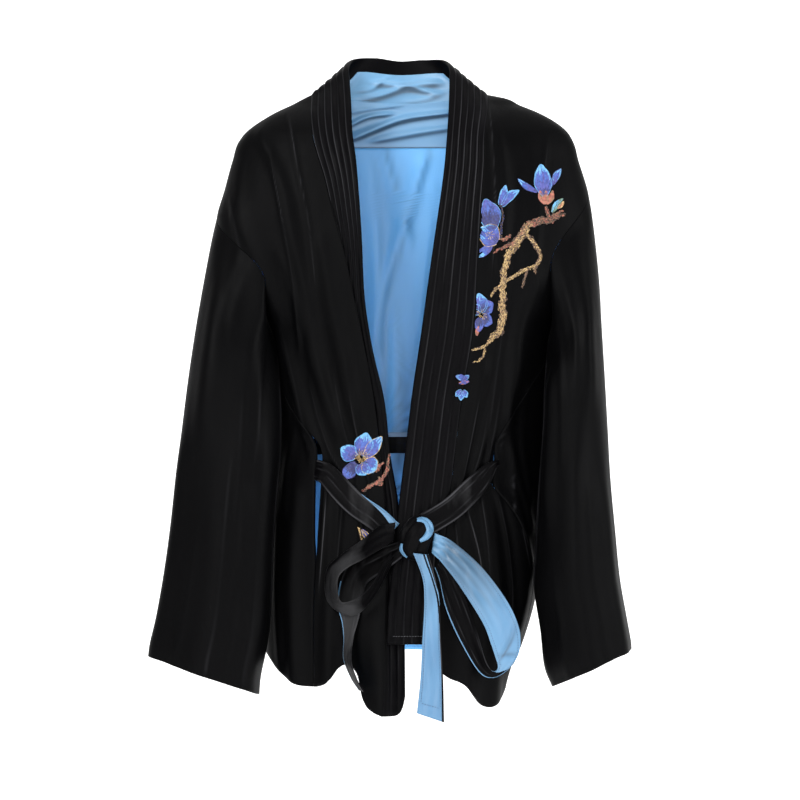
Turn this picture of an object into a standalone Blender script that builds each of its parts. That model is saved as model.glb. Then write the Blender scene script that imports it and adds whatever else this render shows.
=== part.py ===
# Velvet wrap jacket with a channel-stitched collar band, satin lining and tied belt.
# Sizes are in millimetres here and turned into metres when a mesh is made.
# X is the viewer's right, Z is up and the front faces -Y. Height 0 is the back neck line.
import math

import bpy
import numpy as np

for old in list(bpy.data.objects):
    bpy.data.objects.remove(old, do_unlink=True)

jacket = bpy.data.collections.new("jacket")
bpy.context.scene.collection.children.link(jacket)

WALL = 2.8
LINING_WALL = 1.2
BAND_WALL = 2.2
LINING_GAP = 1.0
SEAM = 0.35
ROUND = 2.4
RELIEF = 1.3
CHANNELS = 6
BELT_WIDTH = 29.0
BELT_WALL = 2.4


# Reading of tables

def read(rows, at, column=1):
    data = np.array(sorted(rows), float)
    x, y = data[:, 0], data[:, column]
    slope = np.gradient(y, x)
    at = np.asarray(at, float)
    i = np.clip(np.searchsorted(x, at) - 1, 0, len(x) - 2)
    gap = x[i + 1] - x[i]
    t = np.clip((at - x[i]) / gap, 0, 1)
    t2, t3 = t * t, t * t * t
    return ((2 * t3 - 3 * t2 + 1) * y[i] + (t3 - 2 * t2 + t) * gap * slope[i]
            + (3 * t2 - 2 * t3) * y[i + 1] + (t3 - t2) * gap * slope[i + 1])


def ease(value, low, high):
    t = np.clip((np.asarray(value, float) - low) / (high - low), 0, 1)
    return t * t * (3 - 2 * t)


def power(value, exponent):
    return np.sign(value) * np.abs(value) ** exponent


# Body of the jacket: one rounded section at each height
# height, left half, right half, front depth, back depth, middle depth
BODY = [
    (16, 95, 93, 7, 41, 22),
    (12, 103, 113, 14, 42, 21),
    (4, 118, 130, 24, 46, 19),
    (-2, 131, 145, 30, 49, 17),
    (-13, 150, 166, 38, 53, 14),
    (-24, 165, 180, 44, 56, 12),
    (-35, 174, 187, 48, 59, 11),
    (-56, 181, 193, 53, 62, 9),
    (-89, 190, 203, 60, 66, 7),
    (-118, 198, 208, 64, 69, 5),
    (-150, 196, 207, 68, 71, 4),
    (-180, 182, 197, 71, 71, 4),
    (-210, 160, 178, 73, 71, 5),
    (-238, 141, 164, 75, 70, 6),
    (-276, 137, 164, 76, 66, 10),
    (-330, 137, 163, 74, 60, 14),
    (-391, 141, 160, 70, 55, 15),
    (-440, 145, 156, 74, 57, 15),
    (-490, 147, 153, 80, 60, 15),
    (-536, 148, 145, 85, 64, 14),
    (-570, 148, 135, 88, 66, 13),
    (-605, 147, 122, 91, 68, 12),
    (-660, 146, 110, 93, 70, 12),
]

# Folds seen on the front, each a line of (across, height)
# name, half width, height at its top, height at its foot, points
FRONT_FOLDS = [
    ("left shoulder fold", 9, 2.0, 5.0, [(-177, -50), (-172, -123), (-153, -174), (-139, -212),
                                         (-117, -284), (-105, -323), (-91, -362)]),
    ("left chest fold", 8, 3.0, 4.0, [(-149, -30), (-127, -84), (-118, -127), (-108, -172),
                                      (-97, -227), (-93, -265), (-76, -319), (-64, -354)]),
    ("left short fold", 7, 1.0, 3.5, [(-130, -156), (-110, -212), (-105, -228)]),
    ("left inner fold", 8, 2.0, 4.0, [(-84, -150), (-74, -215), (-58, -290), (-43, -360)]),
    ("left hollow", 10, -1.0, -2.5, [(-104, -100), (-94, -180), (-76, -270), (-66, -330)]),
    ("right side fold", 10, 3.0, 5.0, [(143, -194), (127, -246), (122, -298), (107, -349)]),
    ("right waist fold", 8, 2.5, 4.0, [(89, -286), (77, -336), (66, -386)]),
    ("right short fold", 7, 1.5, 3.5, [(102, -300), (92, -345), (84, -378)]),
    ("right shoulder fold", 6, 2.0, 1.5, [(101, 0), (108, -40), (113, -78), (112, -150)]),
    ("right hollow", 12, -2.5, -2.0, [(128, -60), (126, -140), (112, -230), (100, -300)]),
    ("right skirt fold", 9, 3.0, 6.5, [(94, -425), (100, -480), (104, -520), (98, -640)]),
    ("right skirt roll", 11, 2.0, 7.0, [(74, -440), (76, -520), (74, -640)]),
    ("right side flare", 9, 3.0, 4.0, [(117, -425), (128, -460), (134, -520), (124, -600)]),
    ("left skirt fold", 9, 2.0, 7.0, [(-112, -420), (-116, -500), (-110, -630)]),
    ("left skirt hollow", 8, -1.0, -6.0, [(-56, -480), (-54, -540), (-54, -610)]),
    ("left front roll", 15, 2.0, 10.0, [(-24, -500), (-22, -560), (-22, -655)]),
    ("left skirt roll", 8, 2.5, 5.0, [(-74, -440), (-76, -520), (-78, -620)]),
]

# Folds of the back, hidden in the photograph
BACK_FOLDS = [
    ("back left shoulder fold", 16, 1.5, 3.5, [(-120, -60), (-104, -160), (-98, -300)]),
    ("back centre hollow", 22, -1.5, -3.5, [(8, -90), (4, -220), (-4, -350)]),
    ("back right shoulder fold", 15, 1.5, 4.0, [(132, -80), (112, -180), (88, -320)]),
    ("back short fold", 13, 1.0, 2.5, [(52, -190), (44, -270), (40, -345)]),
    ("back left skirt fold", 17, 2.0, 6.0, [(-88, -420), (-92, -520), (-88, -610)]),
    ("back middle skirt fold", 18, 2.0, 6.5, [(-22, -410), (-30, -500), (-26, -610)]),
    ("back right skirt fold", 17, 2.0, 6.0, [(48, -415), (58, -520), (62, -610)]),
    ("back skirt hollow", 15, -1.0, -3.0, [(16, -430), (14, -520), (18, -610)]),
]


def folds(rows, x, z):
    total = np.zeros(np.broadcast(x, z).shape)
    for name, half, top, foot, points in rows:
        line = [(h, a) for a, h in points]
        high, low = points[0][1], points[-1][1]
        where = read(line, z)
        along = np.clip((high - z) / (high - low), 0, 1)
        height = top + (foot - top) * along
        fade = ease(z, low - 26, low + 6) * (1 - ease(z, high - 6, high + 26))
        if low < -590:
            fade = 1 - ease(z, high - 6, high + 26)
        total = total + height * fade * np.exp(-((x - where) / half) ** 2)
    return total


# height of the belt across the front
BELT_LINE = [(-150, -378), (-86, -391), (-49, -427), (1, -456), (40, -446), (83, -410), (150, -384)]


def torso(phi, z, out=0.0):
    phi, z = np.broadcast_arrays(np.asarray(phi, float), np.asarray(z, float))
    turn = np.radians(phi)
    across = power(np.sin(turn), 2 / ROUND)
    deep = power(np.cos(turn), 2 / ROUND)
    half = np.where(across < 0, read(BODY, z, 1), read(BODY, z, 2))
    depth = np.where(deep > 0, read(BODY, z, 3), read(BODY, z, 4))
    x = half * across
    y = read(BODY, z, 5) - depth * deep
    inside = 1 - ease(np.abs(across), 0.9, 0.995)
    pressed = 1 - 0.85 * np.exp(-((z - read(BELT_LINE, x)) / 24) ** 2)
    front = folds(FRONT_FOLDS, x, z) * inside * pressed
    back = folds(BACK_FOLDS, x, z) * inside
    push = np.where(deep > 0, front, back)
    nx, ny = power(np.sin(turn), 2 - 2 / ROUND) / half, -power(np.cos(turn), 2 - 2 / ROUND) / depth
    size = np.hypot(nx, ny)
    nx, ny = nx / size, ny / size
    return np.stack([x + nx * (push + out), y + ny * (push + out), z], -1)


def torso_normal(phi, z):
    around = torso(phi + 0.4, z) - torso(phi - 0.4, z)
    up = torso(phi, z + 0.8) - torso(phi, z - 0.8)
    normal = np.cross(around, up)
    return normal / np.linalg.norm(normal, axis=-1, keepdims=True)


def phi_of(x, z):
    half = np.where(np.asarray(x) < 0, read(BODY, z, 1), read(BODY, z, 2))
    ratio = np.clip(np.abs(x) / half, 0, 1) ** (ROUND / 2)
    return np.sign(x) * np.degrees(np.arcsin(ratio))


def on_front(x, z, out=0.0):
    return torso(phi_of(x, z), z, out)


# Closed cloth solids

def solid(name, outer, inner, material, loop=False):
    rows, columns = outer.shape[:2]
    points = np.concatenate([outer.reshape(-1, 3), inner.reshape(-1, 3)]) / 1000
    count = rows * columns

    def at(r, c, side):
        return side * count + r * columns + c % columns

    faces = []
    last = columns if loop else columns - 1

    def four(a, b, c, d):
        faces.append((a, b, c))
        faces.append((a, c, d))

    for r in range(rows - 1):
        for c in range(last):
            a, b, d, e = at(r, c, 0), at(r, c + 1, 0), at(r + 1, c + 1, 0), at(r + 1, c, 0)
            four(a, b, d, e)
            a, b, d, e = at(r, c, 1), at(r, c + 1, 1), at(r + 1, c + 1, 1), at(r + 1, c, 1)
            faces.append((d, b, a))
            faces.append((e, d, a))
    for c in range(last):
        four(at(0, c + 1, 0), at(0, c, 0), at(0, c, 1), at(0, c + 1, 1))
        end = rows - 1
        four(at(end, c, 0), at(end, c + 1, 0), at(end, c + 1, 1), at(end, c, 1))
    if not loop:
        for r in range(rows - 1):
            four(at(r, 0, 0), at(r + 1, 0, 0), at(r + 1, 0, 1), at(r, 0, 1))
            end = columns - 1
            four(at(r + 1, end, 0), at(r, end, 0), at(r, end, 1), at(r + 1, end, 1))
    volume = 0.0
    for a, b, c in faces:
        volume += np.dot(points[a], np.cross(points[b], points[c]))
    if volume < 0:
        faces = [tuple(reversed(face)) for face in faces]
    mesh = bpy.data.meshes.new(name)
    mesh.from_pydata([tuple(p) for p in points], [], faces)
    mesh.validate()
    mesh.materials.append(material)
    thing = bpy.data.objects.new(name, mesh)
    jacket.objects.link(thing)
    return thing


def grid_normals(points, loop=False):
    if loop:
        around = np.roll(points, -1, 1) - np.roll(points, 1, 1)
    else:
        around = np.gradient(points, axis=1)
    along = np.gradient(points, axis=0)
    normal = np.cross(around, along)
    return normal / np.linalg.norm(normal, axis=-1, keepdims=True)


def material(name, colour, rough):
    made = bpy.data.materials.new(name)
    made.use_nodes = True
    shader = made.node_tree.nodes["Principled BSDF"]
    shader.inputs["Base Color"].default_value = (*colour, 1)
    shader.inputs["Roughness"].default_value = rough
    made.diffuse_color = (*colour, 1)
    return made


velvet = material("velvet_black", (0.012, 0.012, 0.014), 0.75)
velvet_band = material("velvet_collar", (0.014, 0.013, 0.018), 0.7)
velvet_belt = material("velvet_belt", (0.016, 0.016, 0.02), 0.7)
satin = material("satin_blue", (0.15, 0.4, 0.75), 0.4)
satin_belt = material("satin_belt", (0.12, 0.27, 0.5), 0.45)


def panel_solid(name, phi, z, out, made_of, wall=WALL):
    outer = torso(phi, z, out)
    normal = torso_normal(phi, z)
    return solid(name, outer, outer - normal * wall, made_of)


# Edges of the panels
# height, across of the right band's outer seam
RIGHT_SEAM = [(16, 92.6), (12, 94), (0, 94), (-24, 91), (-60, 90), (-99, 87), (-164, 83),
              (-240, 78), (-315, 66), (-380, 58), (-423, 53), (-488, 46), (-531, 42), (-660, 40)]
# height, across of the left panel's inner edge, rolled over the band below the chest
LEFT_SEAM = [(16, -94.6), (12, -95), (-29, -94), (-77, -80), (-114, -71), (-152, -61),
             (-217, -47), (-260, -38), (-315, -28), (-376, -21), (-423, -17), (-660, -17)]
# height, angle of the side edge of each front
LEFT_SIDE = [(-238, 90), (-262, 84), (-288, 74), (-318, 59), (-350, 40), (-362, 34.4), (-374, 32.6),
             (-390, 32.6), (-406, 32.6), (-440, 32.8), (-467, 33.2), (-520, 34.2), (-578, 34.6), (-660, 35)]
RIGHT_SIDE = [(-238, 90), (-262, 79), (-288, 62), (-318, 48), (-350, 37.5), (-362, 34.8), (-374, 34.5),
              (-390, 34.5), (-406, 34.5), (-424, 42), (-443, 50), (-476, 60), (-513, 70), (-570, 75),
              (-660, 75)]
# height, slit between front edge and back edge
LEFT_SLIT = [(-200, 0), (-240, 0.4), (-340, 0.4), (-350, 0.4), (-362, 6), (-374, 14),
             (-390, 15), (-406, 14), (-416, 10), (-440, 6), (-462, 4.5), (-484, 1), (-520, 0.8), (-660, 0.8)]
RIGHT_SLIT = [(-200, 0), (-240, 0.4), (-340, 0.4), (-350, 0.4), (-362, 2.5), (-374, 14),
              (-390, 15), (-406, 14), (-416, 8), (-430, 2), (-470, 1), (-660, 1)]
# across, height of the hem
LEFT_HEM = [(-100, -622), (-86, -621), (-70, -613), (-62, -602), (-54, -598), (-48, -618),
            (-40, -643), (-27, -651), (-9, -653), (3, -647), (10, -630)]
RIGHT_HEM = [(38, -600), (48, -612), (58, -619), (67, -631), (82, -644), (99, -639),
             (113, -629), (121, -612), (150, -600)]
# angle measured from the left front edge round the back to the right one, height of the hem
BACK_HEM = [(-330, -622), (-317, -620), (-308, -613), (-300, -605), (-287, -590), (-278, -583),
            (-265, -579), (-240, -584), (-180, -587), (-120, -590), (-95, -592), (-80, -600), (-70, -603)]
LEFT_ARM = (-118.0, -238.0)
RIGHT_ARM = (-89.0, -238.0)
ARM_TURN = 40.0


def arm_turn(z, arm):
    q = np.clip((arm[0] - z) / (arm[0] - arm[1]), 0, 1)
    return ARM_TURN * np.sin(math.pi * q) ** 0.85


def seam_turn(z, half_gap):
    speed = np.maximum(read(BODY, z, 3), 20)
    return np.degrees((np.maximum(half_gap, 0.05) / speed) ** (ROUND / 2))


def outer_turn(z, left):
    arm = LEFT_ARM if left else RIGHT_ARM
    side = read(LEFT_SIDE if left else RIGHT_SIDE, np.minimum(z, -238))
    turn = np.where(z > arm[1], 90 - arm_turn(z, arm), np.minimum(side, 90))
    return turn


def shift_turn(turn, z, left, gap):
    reach = torso(-turn if left else turn, z)
    step = torso((-turn if left else turn) + 0.2, z) - reach
    speed = np.linalg.norm(step, axis=-1) / 0.2
    near = seam_turn(z, gap)
    plain = gap / np.maximum(speed, 0.3)
    return np.where(turn > 88.5, near, plain)


HEIGHTS = [15.3, 12, 6, -2, -13, -24, -37, -54, -72, -89, -96, -106, -118, -126, -140, -162, -184, -206,
           -222, -232, -238, -262, -288, -318, -350, -362, -374, -390, -406, -416]
SKIRT_TOP = -416
SKIRT_ROWS = 9


def front_rows(left, columns):
    hem = LEFT_HEM if left else RIGHT_HEM
    seam = LEFT_SEAM if left else RIGHT_SEAM
    sign = -1 if left else 1
    u = np.linspace(0, 1, columns)[None, :]
    high = np.repeat(np.array(HEIGHTS)[:, None], columns, 1)
    steps = np.linspace(0, 1, SKIRT_ROWS + 1)[1:, None]
    foot_in = read(seam, -640.0) + sign * 0.5
    foot_turn = outer_turn(np.array(-620.0), left)
    foot_out = float(on_front_x(foot_turn, -620.0, left))
    foot = read(hem, foot_in + (foot_out - foot_in) * u)
    low = SKIRT_TOP + (foot - SKIRT_TOP) * steps
    z = np.concatenate([high, low])
    inner_x = read(seam, z) + sign * SEAM / 2
    inner = np.abs(phi_of(inner_x, z))
    outer = outer_turn(z, left)
    outer = outer - shift_turn(outer, z, left, SEAM / 2)
    phi = sign * (inner + (outer - inner) * u)
    return phi, z


def on_front_x(turn, z, left):
    return torso(-turn if left else turn, z)[..., 0]


def back_rows(columns):
    u = np.linspace(0, 1, columns)[None, :]
    nominal = 90 + 180 * u
    dip = 8 * (1 - np.abs(nominal - 180) / 90) ** 2
    high = np.array(HEIGHTS)[:, None] + 0 * u
    lead = (high[:1] + 0.7 - dip)
    blend = np.linspace(0, 1, 5)[:, None]
    high[:5] = lead * (1 - blend) + high[4:5] * blend
    left_reach = 360 - np.array([read(LEFT_SIDE, -620.0)])
    right_reach = np.array([read(RIGHT_SIDE, -620.0)])
    wide = right_reach + (left_reach - right_reach) * u
    foot = read(BACK_HEM, -wide)
    steps = np.linspace(0, 1, SKIRT_ROWS + 1)[1:, None]
    low = SKIRT_TOP + (foot - SKIRT_TOP) * steps
    z = np.concatenate([high, low])
    right = outer_turn(z, False)
    left = outer_turn(z, True)
    arm_right = (z > RIGHT_ARM[1]) & (z < RIGHT_ARM[0])
    arm_left = (z > LEFT_ARM[1]) & (z < LEFT_ARM[0])
    right = np.where(arm_right, 180 - right, right)
    left = np.where(arm_left, 180 - left, left)
    right = right + shift_turn(right, z, False, SEAM / 2 + read(RIGHT_SLIT, np.minimum(z, -238)))
    left = left + shift_turn(left, z, True, SEAM / 2 + read(LEFT_SLIT, np.minimum(z, -238)))
    phi = right + (360 - left - right) * u
    return phi, z


# Collar band, from the foot of the under front round the neck to the foot of the over front
# height, across of the free edge
LEFT_FREE = [(-24, -52), (-42, -49), (-94, -44), (-143, -41), (-217, -37), (-260, -30), (-315, -17),
             (-376, -10), (-423, -2), (-488, 2), (-531, 4), (-660, 6)]
RIGHT_FREE = [(-24, 51), (-60, 48), (-99, 43), (-164, 33.5), (-240, 23), (-315, 12),
              (-380, 4.3), (-423, -1), (-488, -7.6), (-531, -12), (-576, -13), (-660, -13)]
# height, width tucked behind the left panel
TUCK = [(16, 0), (-60, 0), (-134, 0), (-150, 2.2), (-175, 7.5), (-217, 15), (-315, 26), (-420, 26), (-660, 26)]
# height, set back of the left band behind the panel
SET_BACK = [(16, 0), (-60, 0), (-95, 0.2), (-112, 2.2), (-130, 4.8), (-148, 6), (-200, 6.6), (-300, 6.6),
            (-660, 6)]
# height, lift of the right front and its band over the left one
LAP = 2.6
SLEEVE_CLEAR = 0.34
# across, depth and height of the free edge over the shoulders and round the neck
NECK_FREE = [(-52, -22, -10), (-53, -8, 8), (-55, 12, 32), (-56, 28, 47), (-50, 56, 56), (-28, 73, 58),
             (0, 78, 54), (28, 74, 56), (47, 56, 55), (54, 28, 46), (54, 12, 31), (53, -8, 8), (52, -21, -10)]
# angle and height of the seam under each of those points
NECK_SEAM = [(None, -13), (None, -2), (None, 12), (-89.9, 15.9), (-112, 15.5), (-145, 13), (-180, 8.4),
             (-215, 13), (-248, 15.5), (-270.1, 15.9), (None, 12), (None, -2), (None, -13)]


def lap(x, z):
    return LAP * (1 - ease(x, 15, 80)) * (1 - ease(z, -420, -300))


def neck_stations():
    free, seam = [], []
    for (x, y, z), (turn, height) in zip(NECK_FREE, NECK_SEAM):
        free.append((x, y, z))
        if turn is None:
            edge = float(read(LEFT_SEAM if x < 0 else RIGHT_SEAM, height))
            seam.append(on_front(edge * 0.99, height))
        else:
            seam.append(torso(turn, height) * np.array([0.99, 1, 1]))
    return np.array(free, float), np.array(seam, float)


BAND_HEIGHTS = [-24, -37, -54, -89, -118, -162, -206, -238, -288, -318, -350, -394, -416]


def collar_points(across):
    left_foot = np.array(BAND_HEIGHTS + [-466, -516, -566, -606, -640], float)[::-1]
    right_foot = np.array(BAND_HEIGHTS + [-456, -496, -536, -576], float)
    rows = []
    for left, heights in ((True, left_foot), (None, None), (False, right_foot)):
        if left is None:
            free, seam = neck_stations()
            for a, b in zip(free, seam):
                w = np.linspace(0, 1, across)[:, None]
                rows.append(b + (a - b) * w)
            continue
        free_x = read(LEFT_FREE if left else RIGHT_FREE, heights)
        seam_x = read(LEFT_SEAM if left else RIGHT_SEAM, heights)
        if left:
            seam_x = seam_x - read(TUCK, heights)
        for k, height in enumerate(heights):
            x = np.linspace(seam_x[k], free_x[k], across)
            z = np.full(across, height)
            out = -read(SET_BACK, z) if left else lap(x, z)
            rows.append(on_front(x, z, out))
    return np.array(rows)


def make_collar():
    across = CHANNELS * 2 + 1
    points = collar_points(across)
    side = np.linspace(0, 1, across)
    edge = points[:, -1] - points[:, 0]
    edge /= np.linalg.norm(edge, axis=-1, keepdims=True)
    points[:, 0] += edge * SEAM
    normal = grid_normals(points)
    if normal[2, across // 2, 1] > 0:
        normal = -normal
    relief = RELIEF * np.abs(np.sin(math.pi * CHANNELS * side))[None, :, None]
    outer = points + normal * relief
    inner = points - normal * BAND_WALL
    solid("collar_band", outer, inner, velvet_band)
    return points, normal


# The satin facing behind the band at the nape: its reach to each side, its places across the band, its gap
FACING_REACH = 50.5
FACING_ACROSS = (0.12, 0.35, 0.6, 0.86)
FACING_GAP = 0.45


def make_neck_facing(points, normal):
    neck = [k for k in range(len(points)) if points[k, -1, 1] > 50 and abs(points[k, -1, 0]) < FACING_REACH]
    rows = points[neck[0]:neck[-1] + 1]
    face = normal[neck[0]:neck[-1] + 1]
    part = []
    for w in FACING_ACROSS:
        cut = w * (rows.shape[1] - 1)
        low = int(cut)
        mix = cut - low
        point = rows[:, low] * (1 - mix) + rows[:, low + 1] * mix
        away = face[:, low] * (1 - mix) + face[:, low + 1] * mix
        part.append(point - away * (BAND_WALL + FACING_GAP))
    outer = np.stack(part, 1)
    away = grid_normals(outer)
    if np.sum(away * face[:, :4]) < 0:
        away = -away
    solid("neck_facing", outer, outer - away * LINING_WALL, satin)


# Sleeves
# outer across, outer height, inner across, inner height, middle depth, half depth
LEFT_SLEEVE = [
    (-198, -118, -141, -238.6, 5, 50), (-203, -140, -142, -246, 2, 50), (-209, -172, -141.2, -258, -4, 48),
    (-215, -207, -138.5, -276, -15, 45), (-221, -245, -133, -300, -27, 43), (-228, -295, -127, -335, -37, 42),
    (-234, -345, -128, -378, -42, 41), (-240, -395, -132, -423, -43, 41), (-246, -450, -135.5, -475, -43, 42),
    (-253, -500, -137, -520, -42, 43), (-261, -545, -141, -570, -40, 44), (-268, -575, -149, -610, -38, 45),
    (-270, -589, -151, -631, -37, 45),
]
RIGHT_SLEEVE = [
    (203, -89, 164, -238.6, 6, 50), (207, -112, 165.4, -247, 2, 50), (211, -145, 165.6, -260, -3, 50),
    (215, -190, 164.5, -280, -14, 49), (217, -235, 159.5, -306, -28, 49), (220, -290, 153.5, -340, -38, 50),
    (223, -345, 150, -385, -42, 50), (226, -400, 147, -428, -43, 50), (231, -455, 144.5, -478, -43, 50),
    (236, -505, 143.5, -515, -42, 51), (243, -545, 151, -560, -38, 52), (248, -572, 155.5, -600, -35, 53),
    (249, -582, 164, -622, -33, 53),
]
# sleeve, angle round, half width, height, from row, to row
SLEEVE_FOLDS = [
    ("left", 55, 16, 5.0, 1.0, 7.0), ("left", 110, 14, 4.0, 0.5, 5.0), ("left", 25, 14, 4.0, 5.0, 12.5),
    ("left", 85, 18, 6.0, 6.0, 12.5), ("left", 140, 16, 4.5, 5.0, 12.5), ("left", 250, 20, 6.0, 2.0, 12.5),
    ("left", 300, 18, 5.0, 4.0, 12.5), ("right", 60, 15, 4.0, 0.5, 6.0), ("right", 135, 15, 6.0, 3.0, 8.0),
    ("right", 95, 18, 5.0, 5.0, 12.5), ("right", 40, 14, 4.0, 6.0, 12.5), ("right", 258, 22, 6.0, 2.0, 12.5),
    ("right", 305, 18, 5.0, 3.0, 12.5), ("right", 160, 12, 3.0, 8.0, 12.5),
]


def arm_loop(left, psi):
    arm = LEFT_ARM if left else RIGHT_ARM
    z = (arm[0] + arm[1]) / 2 + (arm[0] - arm[1]) / 2 * np.cos(np.radians(psi))
    turn = 90 - arm_turn(z, arm)
    turn = np.where(np.sin(np.radians(psi)) >= 0, turn, 180 - turn)
    return torso(-turn if left else turn, z)


def sleeve_points(left, rows, psi):
    table = LEFT_SLEEVE if left else RIGHT_SLEEVE
    data = [(k, *row) for k, row in enumerate(table)]
    r = np.asarray(rows, float)[:, None]
    p = np.radians(psi)[None, :]
    ox, oz, ix, iz, yc, half = [read(data, r, k) for k in range(1, 7)]
    x = (ox + ix) / 2 + (ox - ix) / 2 * np.cos(p)
    z = (oz + iz) / 2 + (oz - iz) / 2 * np.cos(p)
    y = yc - half * np.sin(p)
    points = np.stack([x, y, z], -1)
    start = arm_loop(left, psi)
    first = np.stack([(table[0][0] + table[0][2]) / 2 + (table[0][0] - table[0][2]) / 2 * np.cos(p[0]),
                      table[0][4] - table[0][5] * np.sin(p[0]),
                      (table[0][1] + table[0][3]) / 2 + (table[0][1] - table[0][3]) / 2 * np.cos(p[0])], -1)
    points += (start - first)[None] * (1 - ease(r, 0, 4))[..., None]
    push = np.zeros(points.shape[:2])
    for side, angle, wide, height, low, high in SLEEVE_FOLDS:
        if (side == "left") != left:
            continue
        near = (psi[None, :] - angle + 180) % 360 - 180
        if high < 12:
            end = ease(r, low, low + 1.5) * (1 - ease(r, high - 1.5, high))
        else:
            end = ease(r, low, low + 2)
        push = push + height * end * np.exp(-(near / wide) ** 2)
    away = grid_normals(points, True)
    middle = points.mean(1, keepdims=True)
    if np.sum(away * (points - middle)) < 0:
        away = -away
    points = points + away * push[..., None]
    clear = np.array([-SLEEVE_CLEAR if left else SLEEVE_CLEAR, 0, -SLEEVE_CLEAR / 2])
    points = points + clear * (1 - ease(r, 0, 1))[..., None]
    return points


def loop_angles(left):
    arm = LEFT_ARM if left else RIGHT_ARM
    rows = np.array([z for z in HEIGHTS if arm[1] <= z <= arm[0]], float)
    half = np.degrees(np.arccos(np.clip((2 * rows - arm[0] - arm[1]) / (arm[0] - arm[1]), -1, 1)))
    return np.concatenate([half, 360 - half[-2:0:-1]])


def make_sleeve(left, rows):
    psi = loop_angles(left)
    points = sleeve_points(left, np.linspace(0, 12, rows), psi)
    away = grid_normals(points, True)
    middle = points.mean(1, keepdims=True)
    if np.sum(away * (points - middle)) < 0:
        away = -away
    solid("left_sleeve" if left else "right_sleeve", points, points - away * WALL, velvet, True)


# Straps and ribbons

def ribbon(name, first_edge, second_edge, made_of, steps, across=4, bulge=0.0, wall=BELT_WALL):
    a, b = np.array(first_edge, float), np.array(second_edge, float)
    k = np.arange(len(a), dtype=float)
    t = np.linspace(0, len(a) - 1, steps)
    def line(edge):
        return np.stack([read(list(zip(k, edge[:, c])), t) for c in range(3)], -1)
    a, b = line(a), line(b)
    w = np.linspace(0, 1, across)[None, :, None]
    points = a[:, None] * (1 - w) + b[:, None] * w
    away = grid_normals(points)
    points = points + away * (bulge * 4 * (w * (1 - w)))
    solid(name, points + away * wall / 2, points - away * wall / 2, made_of)


# Belt round the body: angle, height, distance out of the body
BELT_PATH = [
    (-2.0, -457, 8.0), (-7, -442, 6.5), (-15, -427, 5.4), (-21.5, -412, 5.0), (-26.5, -400, 4.8),
    (-29.6, -394, 4.4),
    (-32.6, -391.5, 3.8), (-36.1, -390, -0.8), (-39.4, -389.5, -5.4), (-43, -388, -8.2), (-52, -385, -9.8),
    (-72, -379, -10), (-90, -375, -10), (-125, -371, -10),
    (-160, -369, -10), (-200, -369, -10), (-235, -373, -10), (-270, -380, -10), (-290, -385, -10),
    (-308.0, -389, -9.8), (-316.0, -390, -8.2), (-319.4, -390.5, -5.4), (-322.4, -391, -0.8),
    (-325.3, -392, 3.8), (-328.4, -396, 4.6), (-332, -404, 5.0), (-337, -416, 5.2), (-343, -430, 6.0),
    (-350, -443, 8.0), (-353, -448, 10.0),
]


def belt_edges(steps):
    t = np.linspace(0, len(BELT_PATH) - 1, steps)
    rows = [(k, *row) for k, row in enumerate(BELT_PATH)]
    phi, z, out = [read(rows, t, c) for c in (1, 2, 3)]
    centre = torso(phi, z, out)
    normal = torso_normal(phi, z)
    along = np.gradient(centre, axis=0)
    wide = np.cross(along, normal)
    wide /= np.linalg.norm(wide, axis=-1, keepdims=True)
    wide *= np.sign(wide[:, 2:3])
    free = ease(np.abs(t - (len(BELT_PATH) - 1) / 2), 9, 12)
    half = (BELT_WIDTH / 2 * (0.82 + 0.1 * free))[:, None]
    return centre + wide * half, centre - wide * half


def front_depth(x, z):
    return float(on_front(x, z)[..., 1])


# Knot and bow: across, height, distance in front of the jacket
KNOT = (17.0, -463.0, 17.0, 19.0, 24.0, 15.0)
LEFT_LOOP = [
    ((-5, -446, 13), (-7, -466, 22)), ((-22, -450, 10), (-18, -472, 28)), ((-42, -466, 9), (-38, -484, 32)),
    ((-62, -480, 9), (-54, -492, 34)), ((-77, -494, 9), (-65, -502, 34)), ((-80, -512, 9), (-67, -516, 34)),
    ((-77, -530, 9), (-63, -530, 34)), ((-64, -542, 9), (-52, -529, 34)), ((-46, -544, 10), (-39, -521, 33)),
    ((-27, -524, 11), (-27, -507, 31)), ((-14, -500, 13), (-18, -490, 27)), ((-7, -486, 15), (-9, -478, 22)),
]
RIGHT_LOOP = [
    ((37.1, -457, 24), (33.8, -478, 21)), ((56, -466, 31), (45, -489, 26)), ((86, -492, 37), (64, -514, 31)),
    ((112, -524, 40), (90, -554, 35)), ((125, -549, 40), (101, -574, 36)), ((129, -570, 37), (104, -583, 35)),
    ((125, -589, 32), (103, -589, 31)), ((114, -604, 25), (99, -590, 24)), ((99, -611, 18), (97, -590, 17)),
    ((84, -604, 13), (92, -578, 14)), ((64, -572, 11), (82, -550, 12)), ((49, -538, 11), (66, -516, 12)),
    ((42, -508, 12), (55, -494, 13)), ((37, -494, 12), (46, -484, 12)),
]
LONG_TAIL = [
    ((14, -478, 34), (31, -480, 32)), ((24, -505, 28), (38, -506, 26)), ((26, -530, 22), (42, -530, 20)),
    ((24, -570, 17), (44, -572, 15)), ((22, -610, 15), (46, -614, 13)), ((18, -649, 14), (47, -659, 12)),
]
SHORT_TAIL = [
    ((2, -484, 10), (-1, -466, 11)), ((-18, -499, 3.5), (-32, -477, 3.5)), ((-36, -512, 3), (-58, -494, 3)),
    ((-40, -532, 3), (-67, -530, 3)), ((-42, -552, 4), (-68, -553, 4)), ((-46, -570, 12), (-66, -572, 5)),
    ((-52, -592, 30), (-60, -592, 6)), ((-46, -612, 35), (-52, -612, 8)), ((-38, -625, 35), (-44, -624, 9)),
]


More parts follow.
